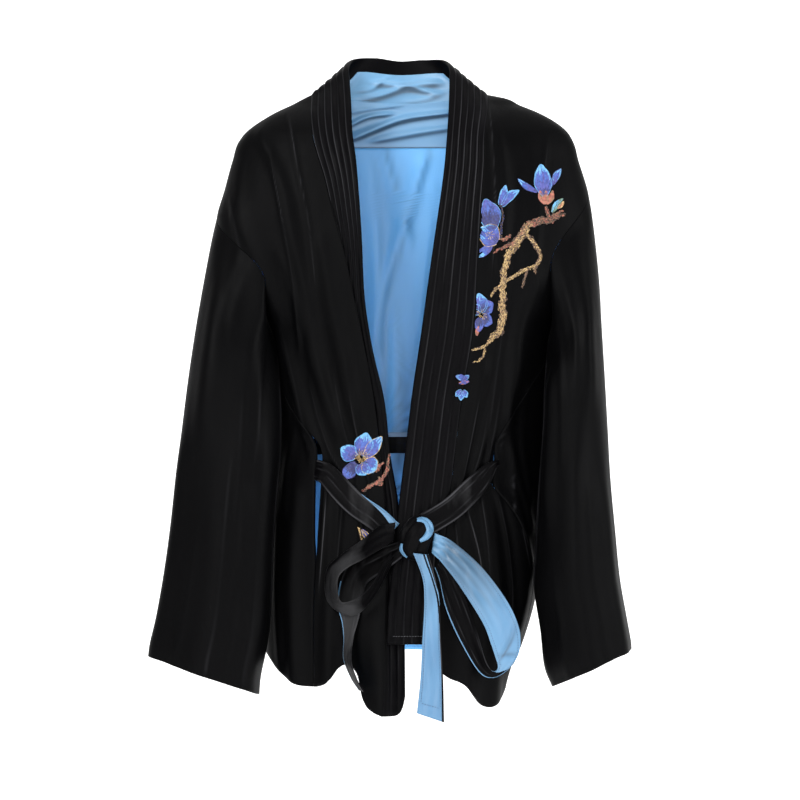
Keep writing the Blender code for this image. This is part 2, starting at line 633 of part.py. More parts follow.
def placed(rows):
    first, second = [], []
    for a, b in rows:
        for target, (x, z, away) in ((first, a), (second, b)):
            target.append((x, min(front_depth(x, max(z, -600)), -52) - away, z))
    return first, second


def make_knot(rings=9, around=16):
    x, z, away, wide, high, deep = KNOT
    y = front_depth(x, z) - LAP - away - 1.5
    points = []
    for r in range(rings):
        lat = math.pi * (r + 0.5) / rings
        row = []
        for c in range(around):
            lon = 2 * math.pi * c / around
            swell = 1 + 0.10 * math.sin(3 * lon + 2.2 * lat) + 0.06 * math.cos(5 * lat)
            row.append((x + wide * math.sin(lat) * math.cos(lon) * swell,
                        y + deep * math.sin(lat) * math.sin(lon) * swell,
                        z + high * math.cos(lat)))
        points.append(row)
    points = np.array(points)
    verts = [tuple(p) for p in points.reshape(-1, 3) / 1000]
    faces = []
    for r in range(rings - 1):
        for c in range(around):
            d = (c + 1) % around
            faces.append((r * around + c, r * around + d, (r + 1) * around + d, (r + 1) * around + c))
    faces.append(tuple(reversed(range(around))))
    faces.append(tuple((rings - 1) * around + c for c in range(around)))
    mesh = bpy.data.meshes.new("knot")
    mesh.from_pydata(verts, [], [tuple(reversed(f)) for f in faces])
    mesh.materials.append(velvet_belt)
    thing = bpy.data.objects.new("knot", mesh)
    jacket.objects.link(thing)


# Pieces
left_phi, left_z = front_rows(True, 13)
panel_solid("left_front", left_phi, left_z, 0.0, velvet)
right_phi, right_z = front_rows(False, 13)
right_x = torso(right_phi, right_z)[..., 0]
panel_solid("right_front", right_phi, right_z, lap(right_x, right_z), velvet)
back_phi, back_z = back_rows(21)
panel_solid("back_panel", back_phi, back_z, 0.0, velvet)

band_points, band_normal = make_collar()
make_neck_facing(band_points, band_normal)



def lining_solid(name, rows, lift_top, lift_foot, made_of):
    phi = back_phi[rows, LINING_COLUMNS].copy()
    z = back_z[rows, LINING_COLUMNS].copy()
    z[0] -= lift_top
    z[-1] += lift_foot
    outer = torso(phi, z)
    normal = torso_normal(phi, z)
    outer = outer - normal * (WALL + LINING_GAP)
    solid(name, outer, outer - normal * LINING_WALL, made_of)


LINING_COLUMNS = slice(3, 18)
YOKE_ROW = 6
lining_solid("yoke_lining", slice(0, YOKE_ROW + 1), 1.5, 0.2, satin)
lining_solid("back_lining", slice(YOKE_ROW, None), 0.3, 7.0, satin)

make_sleeve(True, 14)
make_sleeve(False, 14)

upper, lower = belt_edges(66)
ribbon("belt", upper, lower, velvet_belt, 66, 2)
make_knot()
ribbon("left_loop", *placed(LEFT_LOOP), velvet_belt, 26, 3)
ribbon("right_loop", *placed(RIGHT_LOOP), satin_belt, 30, 3)
ribbon("long_tail", *placed(LONG_TAIL), satin_belt, 12, 3)
ribbon("short_tail", *placed(SHORT_TAIL), velvet_belt, 16, 3)
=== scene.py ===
# Looks of the velvet wrap jacket: pile, satin, channel stitching, embroidery, sash and bow.
# Sizes are in millimetres until a mesh is made. X is the viewer's right and the front faces -Y.
import math

import bpy
import numpy as np
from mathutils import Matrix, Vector


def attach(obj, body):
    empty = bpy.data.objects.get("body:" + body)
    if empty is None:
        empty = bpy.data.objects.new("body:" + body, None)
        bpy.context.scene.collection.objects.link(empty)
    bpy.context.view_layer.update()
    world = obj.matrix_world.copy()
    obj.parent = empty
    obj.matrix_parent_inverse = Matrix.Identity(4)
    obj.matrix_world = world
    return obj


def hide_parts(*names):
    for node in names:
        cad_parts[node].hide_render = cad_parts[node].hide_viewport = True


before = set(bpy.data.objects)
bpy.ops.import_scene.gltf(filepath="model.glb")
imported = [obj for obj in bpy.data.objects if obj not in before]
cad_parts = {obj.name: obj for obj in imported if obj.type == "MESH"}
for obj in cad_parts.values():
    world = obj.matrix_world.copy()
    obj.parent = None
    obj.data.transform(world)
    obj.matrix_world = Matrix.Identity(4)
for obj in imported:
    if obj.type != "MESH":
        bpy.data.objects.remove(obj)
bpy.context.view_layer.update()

WALL = 2.8
LINING_WALL = 1.0
LINING_GAP = 1.0
SEAM = 0.04
ROUND = 2.4
RELIEF = 1.5
CHANNELS = 6
BELT_WIDTH = 29.0
BELT_WALL = 2.2
LAP = 2.6


# Reading of tables

def read(rows, at, column=1):
    data = np.array(sorted(rows), float)
    x, y = data[:, 0], data[:, column]
    slope = np.gradient(y, x)
    at = np.asarray(at, float)
    i = np.clip(np.searchsorted(x, at) - 1, 0, len(x) - 2)
    gap = x[i + 1] - x[i]
    t = np.clip((at - x[i]) / gap, 0, 1)
    t2, t3 = t * t, t * t * t
    return ((2 * t3 - 3 * t2 + 1) * y[i] + (t3 - 2 * t2 + t) * gap * slope[i]
            + (3 * t2 - 2 * t3) * y[i + 1] + (t3 - t2) * gap * slope[i + 1])


def ease(value, low, high):
    t = np.clip((np.asarray(value, float) - low) / (high - low), 0, 1)
    return t * t * (3 - 2 * t)


def power(value, exponent):
    return np.sign(value) * np.abs(value) ** exponent


def chance(*numbers):
    # an even spread from 0 to 1 that is the same each run
    total = sum(n * k for n, k in zip(numbers, (12.9898, 78.233, 37.719, 9.151)))
    return np.abs(np.sin(total) * 43758.5453) % 1.0


# Body of the jacket, as in the solids
# height, left half, right half, front depth, back depth, middle depth
BODY = [
    (16, 95, 93, 7, 41, 22),
    (12, 103, 113, 14, 42, 21),
    (4, 118, 130, 24, 46, 19),
    (-2, 131, 145, 30, 49, 17),
    (-13, 150, 166, 38, 53, 14),
    (-24, 165, 180, 44, 56, 12),
    (-35, 174, 187, 48, 59, 11),
    (-56, 181, 193, 53, 62, 9),
    (-89, 190, 203, 60, 66, 7),
    (-118, 198, 208, 64, 69, 5),
    (-150, 196, 207, 68, 71, 4),
    (-180, 182, 197, 71, 71, 4),
    (-210, 160, 178, 73, 71, 5),
    (-238, 141, 164, 75, 70, 6),
    (-276, 137, 164, 76, 66, 10),
    (-330, 137, 163, 74, 60, 14),
    (-391, 141, 160, 70, 55, 15),
    (-440, 145, 156, 74, 57, 15),
    (-490, 147, 153, 80, 60, 15),
    (-536, 148, 145, 85, 64, 14),
    (-570, 148, 135, 88, 66, 13),
    (-605, 147, 122, 91, 68, 12),
    (-660, 146, 110, 93, 70, 12),
]

# name, half width, height at its top, height at its foot, points of (across, height)
FRONT_FOLDS = [
    ("left shoulder fold", 9, 2.0, 5.0, [(-177, -50), (-172, -123), (-153, -174), (-139, -212),
                                         (-117, -284), (-105, -323), (-91, -362)]),
    ("left chest fold", 8, 3.0, 4.0, [(-149, -30), (-127, -84), (-118, -127), (-108, -172),
                                      (-97, -227), (-93, -265), (-76, -319), (-64, -354)]),
    ("left short fold", 7, 1.0, 3.5, [(-130, -156), (-110, -212), (-105, -228)]),
    ("left inner fold", 8, 2.0, 4.0, [(-84, -150), (-74, -215), (-58, -290), (-43, -360)]),
    ("left hollow", 10, -1.0, -2.5, [(-104, -100), (-94, -180), (-76, -270), (-66, -330)]),
    ("right side fold", 10, 3.0, 5.0, [(143, -194), (127, -246), (122, -298), (107, -349)]),
    ("right waist fold", 8, 2.5, 4.0, [(89, -286), (77, -336), (66, -386)]),
    ("right short fold", 7, 1.5, 3.5, [(102, -300), (92, -345), (84, -378)]),
    ("right shoulder fold", 6, 2.0, 1.5, [(101, 0), (108, -40), (113, -78), (112, -150)]),
    ("right hollow", 12, -2.5, -2.0, [(128, -60), (126, -140), (112, -230), (100, -300)]),
    ("right skirt fold", 9, 3.0, 6.5, [(94, -425), (100, -480), (104, -520), (98, -640)]),
    ("right skirt roll", 11, 2.0, 7.0, [(74, -440), (76, -520), (74, -640)]),
    ("right side flare", 9, 3.0, 4.0, [(117, -425), (128, -460), (134, -520), (124, -600)]),
    ("left skirt fold", 9, 2.0, 7.0, [(-112, -420), (-116, -500), (-110, -630)]),
    ("left skirt hollow", 8, -1.0, -6.0, [(-56, -480), (-54, -540), (-54, -610)]),
    ("left front roll", 15, 2.0, 10.0, [(-24, -500), (-22, -560), (-22, -655)]),
    ("left skirt roll", 8, 2.5, 5.0, [(-74, -440), (-76, -520), (-78, -620)]),
]
BACK_FOLDS = [
    ("back left shoulder fold", 16, 1.5, 3.5, [(-120, -60), (-104, -160), (-98, -300)]),
    ("back centre hollow", 22, -1.5, -3.5, [(8, -90), (4, -220), (-4, -350)]),
    ("back right shoulder fold", 15, 1.5, 4.0, [(132, -80), (112, -180), (88, -320)]),
    ("back short fold", 13, 1.0, 2.5, [(52, -190), (44, -270), (40, -345)]),
    ("back left skirt fold", 17, 2.0, 6.0, [(-88, -420), (-92, -520), (-88, -610)]),
    ("back middle skirt fold", 18, 2.0, 6.5, [(-22, -410), (-30, -500), (-26, -610)]),
    ("back right skirt fold", 17, 2.0, 6.0, [(48, -415), (58, -520), (62, -610)]),
    ("back skirt hollow", 15, -1.0, -3.0, [(16, -430), (14, -520), (18, -610)]),
]
# Creases finer than the solids hold
FRONT_CREASES = [
    ("left armhole crease", 3.5, 1.0, 1.8, [(-184, -95), (-172, -150), (-156, -200), (-140, -250)]),
    ("left upper crease", 4.0, 0.8, 1.4, [(-122, -5), (-112, -60), (-100, -120), (-92, -190)]),
    ("left thin crease", 3.0, 0.8, 1.5, [(-138, -60), (-126, -120), (-114, -190), (-108, -250)]),
    ("left side pull", 3.0, 0.6, 1.8, [(-128, -240), (-116, -290), (-104, -345), (-96, -372)]),
    ("left waist pull a", 3.0, 0.5, 2.0, [(-96, -300), (-84, -345), (-70, -380), (-56, -400)]),
    ("left waist pull b", 2.8, 0.5, 1.9, [(-72, -290), (-60, -350), (-46, -392)]),
    ("left waist pull c", 2.4, 0.4, 1.6, [(-54, -310), (-43, -365), (-33, -402)]),
    ("left skirt pull a", 3.0, 2.0, 0.6, [(-80, -415), (-84, -470), (-88, -520)]),
    ("left skirt pull b", 3.0, 2.2, 0.5, [(-62, -432), (-66, -480), (-70, -530)]),
    ("left skirt pull c", 3.0, 2.0, 0.6, [(-42, -446), (-42, -490), (-40, -540)]),
    ("left side crease a", 4.0, 1.0, 2.6, [(-110, -332), (-116, -360), (-122, -388), (-124, -430)]),
    ("left side crease b", 5.0, 1.5, 3.0, [(-130, -420), (-132, -500), (-128, -590)]),
    ("right seam crease", 3.2, 1.6, 1.0, [(97, 4), (101, -50), (103, -110), (100, -170)]),
    ("right outer crease", 4.0, 0.8, 1.2, [(158, -40), (150, -110), (146, -180)]),
    ("right chest crease", 4.0, 0.6, 1.6, [(118, -170), (112, -230), (104, -290), (96, -350)]),
    ("right waist pull a", 3.0, 0.6, 2.2, [(108, -300), (101, -345), (94, -382)]),
    ("right waist pull b", 3.0, 0.4, 1.9, [(96, -325), (86, -375), (76, -405)]),
    ("right waist pull c", 2.6, 0.4, 1.7, [(84, -315), (73, -372), (63, -418)]),
    ("right skirt pull a", 3.0, 2.2, 0.8, [(88, -418), (94, -460), (98, -512)]),
    ("right skirt pull b", 3.0, 2.0, 0.6, [(72, -434), (83, -475), (91, -522)]),
    ("right skirt pull c", 2.8, 1.8, 0.5, [(60, -446), (64, -490), (66, -550)]),
    ("right skirt pull d", 3.5, 1.6, 0.8, [(104, -415), (114, -462), (120, -520), (116, -590)]),
    ("right side crease a", 4.0, 2.0, 2.8, [(117, -319), (117, -343), (124, -386), (141, -449)]),
    ("right side crease b", 3.5, 0.8, 2.0, [(136, -300), (132, -350), (140, -420)]),
    ("right side crease c", 4.0, 2.0, 2.2, [(120, -400), (132, -450), (142, -500)]),
]
BACK_CREASES = [
    ("back neck pull a", 6, 1.2, 0.4, [(-62, -2), (-88, -50), (-118, -96)]),
    ("back neck pull b", 6, 1.1, 0.4, [(66, -4), (96, -52), (132, -92)]),
    ("back arm pull a", 5, 0.6, 1.8, [(-150, -120), (-128, -190), (-118, -262)]),
    ("back arm pull b", 5, 0.6, 1.6, [(160, -110), (142, -190), (130, -268)]),
    ("back waist pull a", 4, 0.4, 1.8, [(-112, -290), (-106, -340), (-96, -372)]),
    ("back waist pull b", 4, 0.4, 1.6, [(-62, -300), (-56, -345), (-58, -370)]),
    ("back waist pull c", 4, 0.4, 1.7, [(-18, -290), (-12, -340), (-14, -368)]),
    ("back waist pull d", 4, 0.4, 1.8, [(72, -296), (66, -345), (62, -372)]),
    ("back waist pull e", 4, 0.4, 1.6, [(116, -300), (112, -345), (108, -376)]),
    ("back skirt pull a", 4, 1.8, 0.5, [(-70, -384), (-66, -430), (-64, -480)]),
    ("back skirt pull b", 4, 1.7, 0.5, [(-8, -382), (-2, -430), (0, -470)]),
    ("back skirt pull c", 4, 1.8, 0.5, [(84, -386), (88, -430), (92, -490)]),
    ("back skirt pull d", 4, 1.6, 0.5, [(122, -392), (124, -430), (128, -490)]),
]
LINING_CREASES = [
    ("lining fold a", 8, 1.0, 3.2, [(-34, -60), (-26, -150), (-30, -260)]),
    ("lining fold b", 6, 2.6, 1.2, [(26, -50), (8, -110), (-16, -190), (-22, -300)]),
    ("lining fold c", 7, 1.0, 3.0, [(36, -90), (24, -190), (14, -300), (2, -360)]),
    ("lining fold d", 5, 1.8, 1.0, [(-20, -46), (-6, -90), (10, -140)]),
    ("lining fold e", 6, 0.8, 2.4, [(-8, -220), (-4, -300), (-8, -360)]),
    ("lining edge hollow", 3.5, -1.5, -2.6, [(20, -250), (10, -310), (0, -380), (-4, -430)]),
    ("lining fold f", 6, 1.6, 1.4, [(70, -60), (60, -200), (52, -360)]),
    ("lining fold g", 6, 1.6, 1.4, [(-78, -60), (-72, -200), (-66, -360)]),
    ("lining fold h", 8, 1.6, 2.6, [(-50, -400), (-44, -480), (-48, -580)]),
    ("lining fold i", 8, 1.6, 2.8, [(34, -400), (28, -490), (32, -580)]),
]

YOKE_CREASES = [
    (3.4, 5.0, [(-58, -30), (-30, -20), (0, -9), (28, -4), (58, 0)]),
    (2.6, 3.0, [(-58, -16), (-36, -6), (-8, -2)]),
    (3.2, 3.0, [(-30, -31), (10, -24), (58, -17)]),
    (3.0, 1.6, [(-58, 0), (-30, 4), (0, 8)]),
]
FACING_CREASES = [
    (3.6, 3.4, [(-52, 10), (-24, 15), (12, 26), (46, 30)]),
    (3.0, 2.4, [(-30, 30), (-4, 27), (40, 18)]),
    (3.0, 1.4, [(4, 9), (28, 12), (50, 20)]),
    (3.0, 1.4, [(-48, 21), (-30, 24), (-14, 36)]),
]


def folds(rows, x, z):
    total = np.zeros(np.broadcast(x, z).shape)
    for name, half, top, foot, points in rows:
        line = [(h, a) for a, h in points]
        high, low = points[0][1], points[-1][1]
        where = read(line, z)
        along = np.clip((high - z) / (high - low), 0, 1)
        height = top + (foot - top) * along
        fade = ease(z, low - 26, low + 6) * (1 - ease(z, high - 6, high + 26))
        if low < -590:
            fade = 1 - ease(z, high - 6, high + 26)
        total = total + height * fade * np.exp(-((x - where) / half) ** 2)
    return total


def slant_folds(rows, x, z):
    # folds that run across the satin: half width, height, points of (across, height)
    total = np.zeros(np.broadcast(x, z).shape)
    for half, height, points in rows:
        low, high = points[0][0], points[-1][0]
        near = (z - read(points, x)) / half
        fade = ease(x, low - 8, low + 10) * (1 - ease(x, high - 10, high + 8))
        total = total + height * fade * np.exp(-near ** 2)
    return total


def slant_shade(rows, x, z):
    # shade below each slanting fold and light above it
    return slant_folds(rows, x, z + 2.6) - slant_folds(rows, x, z - 1.0)


def painted_light(rows, x, z):
    # painted highlight: a thin grey line along a fold's crest, where the pile catches the light
    total = np.zeros(np.broadcast(x, z).shape)
    for k, (name, half, top, foot, points) in enumerate(rows):
        line = [(h, a) for a, h in points]
        high, low = points[0][1], points[-1][1]
        fade = ease(z, low - 8, low + 30) * (1 - ease(z, high - 30, high + 8))
        where = read(line, z) + (0.30 if k % 2 else -0.22) * half
        soft = 0.62 + 0.38 * np.sin(z / 34.0 + 2.1 * k)
        strong = 0.10 + 0.60 * chance(k, 3) ** 1.5
        total = np.maximum(total, strong * soft * fade * np.exp(-((x - where) / 0.45) ** 2))
    return total


BELT_LINE = [(-150, -378), (-86, -391), (-49, -427), (1, -456), (40, -446), (83, -410), (150, -384)]
FINE = {"on": True}


def torso(phi, z, out=0.0):
    phi, z = np.broadcast_arrays(np.asarray(phi, float), np.asarray(z, float))
    turn = np.radians(phi)
    across = power(np.sin(turn), 2 / ROUND)
    deep = power(np.cos(turn), 2 / ROUND)
    half = np.where(across < 0, read(BODY, z, 1), read(BODY, z, 2))
    depth = np.where(deep > 0, read(BODY, z, 3), read(BODY, z, 4))
    x = half * across
    y = read(BODY, z, 5) - depth * deep
    inside = 1 - ease(np.abs(across), 0.9, 0.995)
    pressed = 1 - 0.85 * np.exp(-((z - read(BELT_LINE, x)) / 24) ** 2)
    front = folds(FRONT_FOLDS, x, z) * inside * pressed
    back = folds(BACK_FOLDS, x, z) * inside
    if FINE["on"]:
        wave = 0.35 * np.sin(x / 9.0 + 1.4 * np.sin(z / 31.0)) * np.sin(z / 47.0 + x / 60.0)
        front = front + (folds(FRONT_CREASES, x, z) + wave) * inside
        back = back + (folds(BACK_CREASES, x, z) + wave) * inside
    push = np.where(deep > 0, front, back)
    nx = power(np.sin(turn), 2 - 2 / ROUND) / half
    ny = -power(np.cos(turn), 2 - 2 / ROUND) / depth
    reach = (push + out) / np.hypot(nx, ny)
    return np.stack([x + nx * reach, y + ny * reach, z], -1)


def torso_normal(phi, z):
    around = torso(phi + 0.4, z) - torso(phi - 0.4, z)
    up = torso(phi, z + 0.8) - torso(phi, z - 0.8)
    normal = np.cross(around, up)
    return normal / np.linalg.norm(normal, axis=-1, keepdims=True)


def phi_of(x, z):
    half = np.where(np.asarray(x) < 0, read(BODY, z, 1), read(BODY, z, 2))
    ratio = np.clip(np.abs(x) / half, 0, 1) ** (ROUND / 2)
    return np.sign(x) * np.degrees(np.arcsin(ratio))


def on_front(x, z, out=0.0):
    return torso(phi_of(x, z), z, out)


# Edges of the panels, as in the solids
RIGHT_SEAM = [(16, 92.6), (12, 94), (0, 94), (-24, 91), (-60, 90), (-99, 87), (-164, 83),
              (-240, 78), (-315, 66), (-380, 58), (-423, 53), (-488, 46), (-531, 42), (-660, 40)]
LEFT_SEAM = [(16, -94.6), (12, -95), (-29, -94), (-77, -80), (-114, -71), (-152, -61),
             (-217, -47), (-260, -38), (-315, -28), (-376, -21), (-423, -17), (-660, -17)]
LEFT_SIDE = [(-238, 90), (-262, 84), (-288, 74), (-318, 59), (-350, 40), (-362, 34.4), (-374, 32.6),
             (-390, 32.6), (-406, 32.6), (-440, 32.8), (-467, 33.2), (-520, 34.2), (-578, 34.6), (-660, 35)]
RIGHT_SIDE = [
    (-238, 90), (-262, 79), (-288, 62), (-318, 48), (-350, 37.5), (-362, 34.8), (-374, 34.5),
    (-390, 34.5), (-406, 34.5), (-424, 42), (-443, 50), (-476, 60), (-513, 70), (-570, 75), (-660, 75),
]
LEFT_SLIT = [
    (-200, 0), (-240, 0.4), (-340, 0.4), (-350, 0.6), (-362, 4.5), (-374, 6), (-390, 7), (-406, 6.5),
    (-420, 6), (-440, 5), (-462, 3.5), (-484, 1), (-520, 0.8), (-660, 0.8),
]
RIGHT_SLIT = [
    (-200, 0), (-240, 0.4), (-340, 0.4), (-356, 0.5), (-368, 0.8), (-376, 1.6), (-388, 1.6), (-396, 0.8),
    (-410, 0.5), (-440, 0.5), (-660, 0.5),
]
LEFT_HEM = [(-100, -622), (-86, -621), (-70, -613), (-62, -602), (-54, -598), (-46, -603), (-41, -613),
            (-38, -629), (-34, -640), (-27, -648), (-16, -653), (10, -653)]
RIGHT_HEM = [(38, -600), (48, -612), (58, -619), (67, -631), (82, -644), (99, -639),
             (113, -629), (121, -612), (150, -600)]
BACK_HEM = [(-330, -622), (-317, -620), (-308, -613), (-300, -605), (-287, -590), (-278, -583),
            (-265, -579), (-240, -584), (-180, -587), (-120, -590), (-95, -592), (-80, -600), (-70, -603)]
LEFT_ARM = (-118.0, -238.0)
RIGHT_ARM = (-89.0, -238.0)
ARM_TURN = 40.0
TOP = 15.3
SKIRT_TOP = -416


def arm_turn(z, arm):
    q = np.clip((arm[0] - z) / (arm[0] - arm[1]), 0, 1)
    return ARM_TURN * np.sin(math.pi * q) ** 0.85


def outer_turn(z, left):
    arm = LEFT_ARM if left else RIGHT_ARM
    side = read(LEFT_SIDE if left else RIGHT_SIDE, np.minimum(z, -238))
    return np.where(z > arm[1], 90 - arm_turn(z, arm), np.minimum(side, 90))


def shift_turn(turn, z, left, gap):
    angle = -turn if left else turn
    step = torso(angle + 0.2, z) - torso(angle, z)
    speed = np.linalg.norm(step, axis=-1) / 0.2
    depth = np.maximum(read(BODY, z, 3), 20)
    near = np.degrees((np.maximum(gap, 0.05) / depth) ** (ROUND / 2))
    return np.where(turn > 88.5, near, gap / np.maximum(speed, 0.3))


def row_heights(count):
    # closer together over the shoulders, where the cloth turns fast
    t = np.linspace(0, 1, count)
    return TOP + (SKIRT_TOP - TOP) * t ** 1.25


def front_grid(left, columns, rows, skirt):
    hem = LEFT_HEM if left else RIGHT_HEM
    seam = LEFT_SEAM if left else RIGHT_SEAM
    sign = -1 if left else 1
    u = np.linspace(0, 1, columns)[None, :]
    high = np.repeat(row_heights(rows)[:, None], columns, 1)
    steps = np.linspace(0, 1, skirt + 1)[1:, None]
    foot_in = read(seam, -640.0) + sign * 0.5
    foot_turn = outer_turn(np.array(-620.0), left)
    foot_out = float(torso(sign * foot_turn, -620.0)[..., 0])
    foot = read(hem, foot_in + (foot_out - foot_in) * u)
    z = np.concatenate([high, SKIRT_TOP + (foot - SKIRT_TOP) * steps])
    inner = np.abs(phi_of(read(seam, z) + sign * SEAM / 2, z))
    outer = outer_turn(z, left)
    outer = outer - shift_turn(outer, z, left, SEAM / 2)
    return sign * (inner + (outer - inner) * u), z


def back_edges(z):
    # how far round the back's right and left edges lie: the armholes mirror those of the fronts
    right = outer_turn(z, False)
    left = outer_turn(z, True)
    right = np.where((z > RIGHT_ARM[1]) & (z < RIGHT_ARM[0]), 180 - right, right)
    left = np.where((z > LEFT_ARM[1]) & (z < LEFT_ARM[0]), 180 - left, left)
    return right, left


def back_grid(columns, rows, skirt):
    u = np.linspace(0, 1, columns)[None, :]
    nominal = 90 + 180 * u
    dip = 8 * (1 - np.abs(nominal - 180) / 90) ** 2
    high = row_heights(rows)[:, None] + 0 * u
    high = high + (0.7 - dip) * ease(high, -20, 14)
    wide = read(RIGHT_SIDE, -620.0) + (360 - read(LEFT_SIDE, -620.0) - read(RIGHT_SIDE, -620.0)) * u
    foot = read(BACK_HEM, -wide)
    steps = np.linspace(0, 1, skirt + 1)[1:, None]
    z = np.concatenate([high, SKIRT_TOP + (foot - SKIRT_TOP) * steps])
    right, left = back_edges(z)
    right = right + shift_turn(right, z, False, SEAM / 2 + read(RIGHT_SLIT, np.minimum(z, -238)))
    left = left + shift_turn(left, z, True, SEAM / 2 + read(LEFT_SLIT, np.minimum(z, -238)))
    return right + (360 - left - right) * u, z


# Materials

class Shade:
    # a Principled material with its nodes made in one place
    def __init__(self, name, colour, rough, sheen=0.0, sheen_rough=0.3, sheen_tint=(1, 1, 1),
                 specular=0.5):
        self.made = bpy.data.materials.new(name)
        self.made.use_nodes = True
        self.nodes = self.made.node_tree.nodes
        self.links = self.made.node_tree.links
        self.shader = self.nodes["Principled BSDF"]
        self.set("Base Color", (*colour, 1))
        self.set("Roughness", rough)
        self.set("Sheen Weight", sheen)
        self.set("Sheen Roughness", sheen_rough)
        self.set("Sheen Tint", (*sheen_tint, 1))
        self.set("Specular IOR Level", specular)
        self.made.diffuse_color = (*colour, 1)
        self.place = self.nodes.new("ShaderNodeTexCoord").outputs["Object"]

    def set(self, socket, value):
        self.shader.inputs[socket].default_value = value

    def texture(self, kind, scale, stretch):
        mapping = self.nodes.new("ShaderNodeMapping")
        mapping.inputs["Scale"].default_value = stretch
        self.links.new(self.place, mapping.inputs["Vector"])
        made = self.nodes.new(kind)
        made.inputs["Scale"].default_value = scale
        self.links.new(mapping.outputs["Vector"], made.inputs["Vector"])
        return made

    def noise(self, scale, detail=3.0, stretch=(1, 1, 1)):
        made = self.texture("ShaderNodeTexNoise", scale, stretch)
        made.inputs["Detail"].default_value = detail
        return made.outputs["Fac"]

    def wave(self, scale, direction, distortion):
        made = self.texture("ShaderNodeTexWave", scale, (1, 1, 1))
        made.bands_direction = direction
        made.inputs["Distortion"].default_value = distortion
        return made.outputs["Fac"]

    def ramp(self, value, stops):
        ramp = self.nodes.new("ShaderNodeValToRGB")
        band = ramp.color_ramp
        while len(band.elements) < len(stops):
            band.elements.new(0.5)
        for element, (at, colour) in zip(band.elements, stops):
            element.position = at
            element.color = (*colour, 1)
        self.links.new(value, ramp.inputs["Fac"])
        return ramp.outputs["Color"]

    def colour(self, value, stops):
        self.links.new(self.ramp(value, stops), self.shader.inputs["Base Color"])

    def rough(self, value, low, high):
        made = self.nodes.new("ShaderNodeMapRange")
        made.inputs["To Min"].default_value = low
        made.inputs["To Max"].default_value = high
        self.links.new(value, made.inputs["Value"])
        self.links.new(made.outputs["Result"], self.shader.inputs["Roughness"])

    def blend(self, colour, other):
        # toward the other colour where the mesh's painted light value says so: a painted highlight on the
        # pile, painted shade on the satin
        painted_light_value = self.nodes.new("ShaderNodeAttribute")
        painted_light_value.attribute_name = "painted_light"
        mix = self.nodes.new("ShaderNodeMix")
        mix.data_type = "RGBA"
        mix.inputs["B"].default_value = (*other, 1)
        self.links.new(painted_light_value.outputs["Fac"], mix.inputs["Factor"])
        self.links.new(colour, mix.inputs["A"])
        self.links.new(mix.outputs["Result"], self.shader.inputs["Base Color"])

    def bump(self, *layers):
        before = None
        for value, strength, distance in layers:
            bump = self.nodes.new("ShaderNodeBump")
            bump.inputs["Strength"].default_value = strength
            bump.inputs["Distance"].default_value = distance
            self.links.new(value, bump.inputs["Height"])
            if before is not None:
                self.links.new(before, bump.inputs["Normal"])
            before = bump.outputs["Normal"]
        self.links.new(before, self.shader.inputs["Normal"])


def velvet(name, dark, light, sheen, brush=0.60):
    # cut pile: black face on, grey where it is seen edge on or brushed, and a painted highlight along the
    # creases the mesh marks
    shade = Shade(name, dark, 0.5, sheen, 0.2, (0.78, 0.79, 0.82), 0.04)
    stops = [(0.42, dark), (brush, dark), (brush + 0.14, light)]
    brushed = shade.ramp(shade.noise(11, 5, (1.4, 1.4, 0.35)), stops)
    # painted highlight: toward the grey where the mesh's painted light value is set
    shade.blend(brushed, PAINTED_HIGHLIGHT_GREY)
    shade.rough(shade.noise(26, 4, (1, 1, 0.4)), 0.36, 0.66)
    pile = (shade.noise(2200, 2), 0.22, 0.0003)
    unevenness = (shade.noise(75, 4, (1, 1, 0.35)), 0.22, 0.0016)
    shade.bump(pile, unevenness)
    return shade.made


def satin(name, low, high, rough=0.42):
    shade = Shade(name, high, rough, 0.10, 0.4, (0.8, 0.9, 1.0), 0.45)
    lit = shade.ramp(shade.noise(9, 3, (1, 1, 0.5)), [(0.25, low), (0.75, high)])
    # painted shade: toward a dark blue where the mesh's painted light value is set
    shade.blend(lit, tuple(0.16 * value for value in low))
    weave = (shade.wave(700, "Z", 0.6), 0.10, 0.0002)
    crumple = (shade.noise(38, 4, (1, 1, 0.4)), 0.18, 0.003)
    grain = (shade.noise(1100, 2), 0.30, 0.0004)
    shade.bump(weave, crumple, grain)
    return shade.made


def thread(name, dark, light, rough=0.42):
    shade = Shade(name, light, rough, 0.15, 0.3, (1, 1, 1), 0.5)
    shade.colour(shade.noise(420, 2), [(0.3, dark), (0.7, light)])
    shade.bump((shade.noise(1500, 2), 0.3, 0.0003))
    return shade.made


# the grey of the painted highlight lines on the pile
PAINTED_HIGHLIGHT_GREY = (0.060, 0.060, 0.066)
VELVET = velvet("velvet", (0.0008, 0.0008, 0.0010), (0.0024, 0.0024, 0.0027), 0.005)
VELVET_BAND = velvet("velvet_collar", (0.0010, 0.0009, 0.0013), (0.0032, 0.0031, 0.0037), 0.006)
VELVET_BELT = velvet("velvet_sash", (0.0012, 0.0011, 0.0014), (0.0280, 0.0280, 0.0295), 0.024, 0.53)
LINING = satin("lining_satin", (0.11, 0.38, 0.74), (0.16, 0.48, 0.86))
YOKE = satin("yoke_satin", (0.11, 0.26, 0.44), (0.17, 0.37, 0.58), 0.36)
SASH = satin("sash_satin", (0.055, 0.14, 0.26), (0.11, 0.25, 0.40), 0.36)
STITCH = thread("stitch_thread", (0.012, 0.03, 0.07), (0.03, 0.06, 0.13))
HEM_STITCH = thread("hem_stitch_thread", (0.03, 0.03, 0.034), (0.07, 0.07, 0.08))
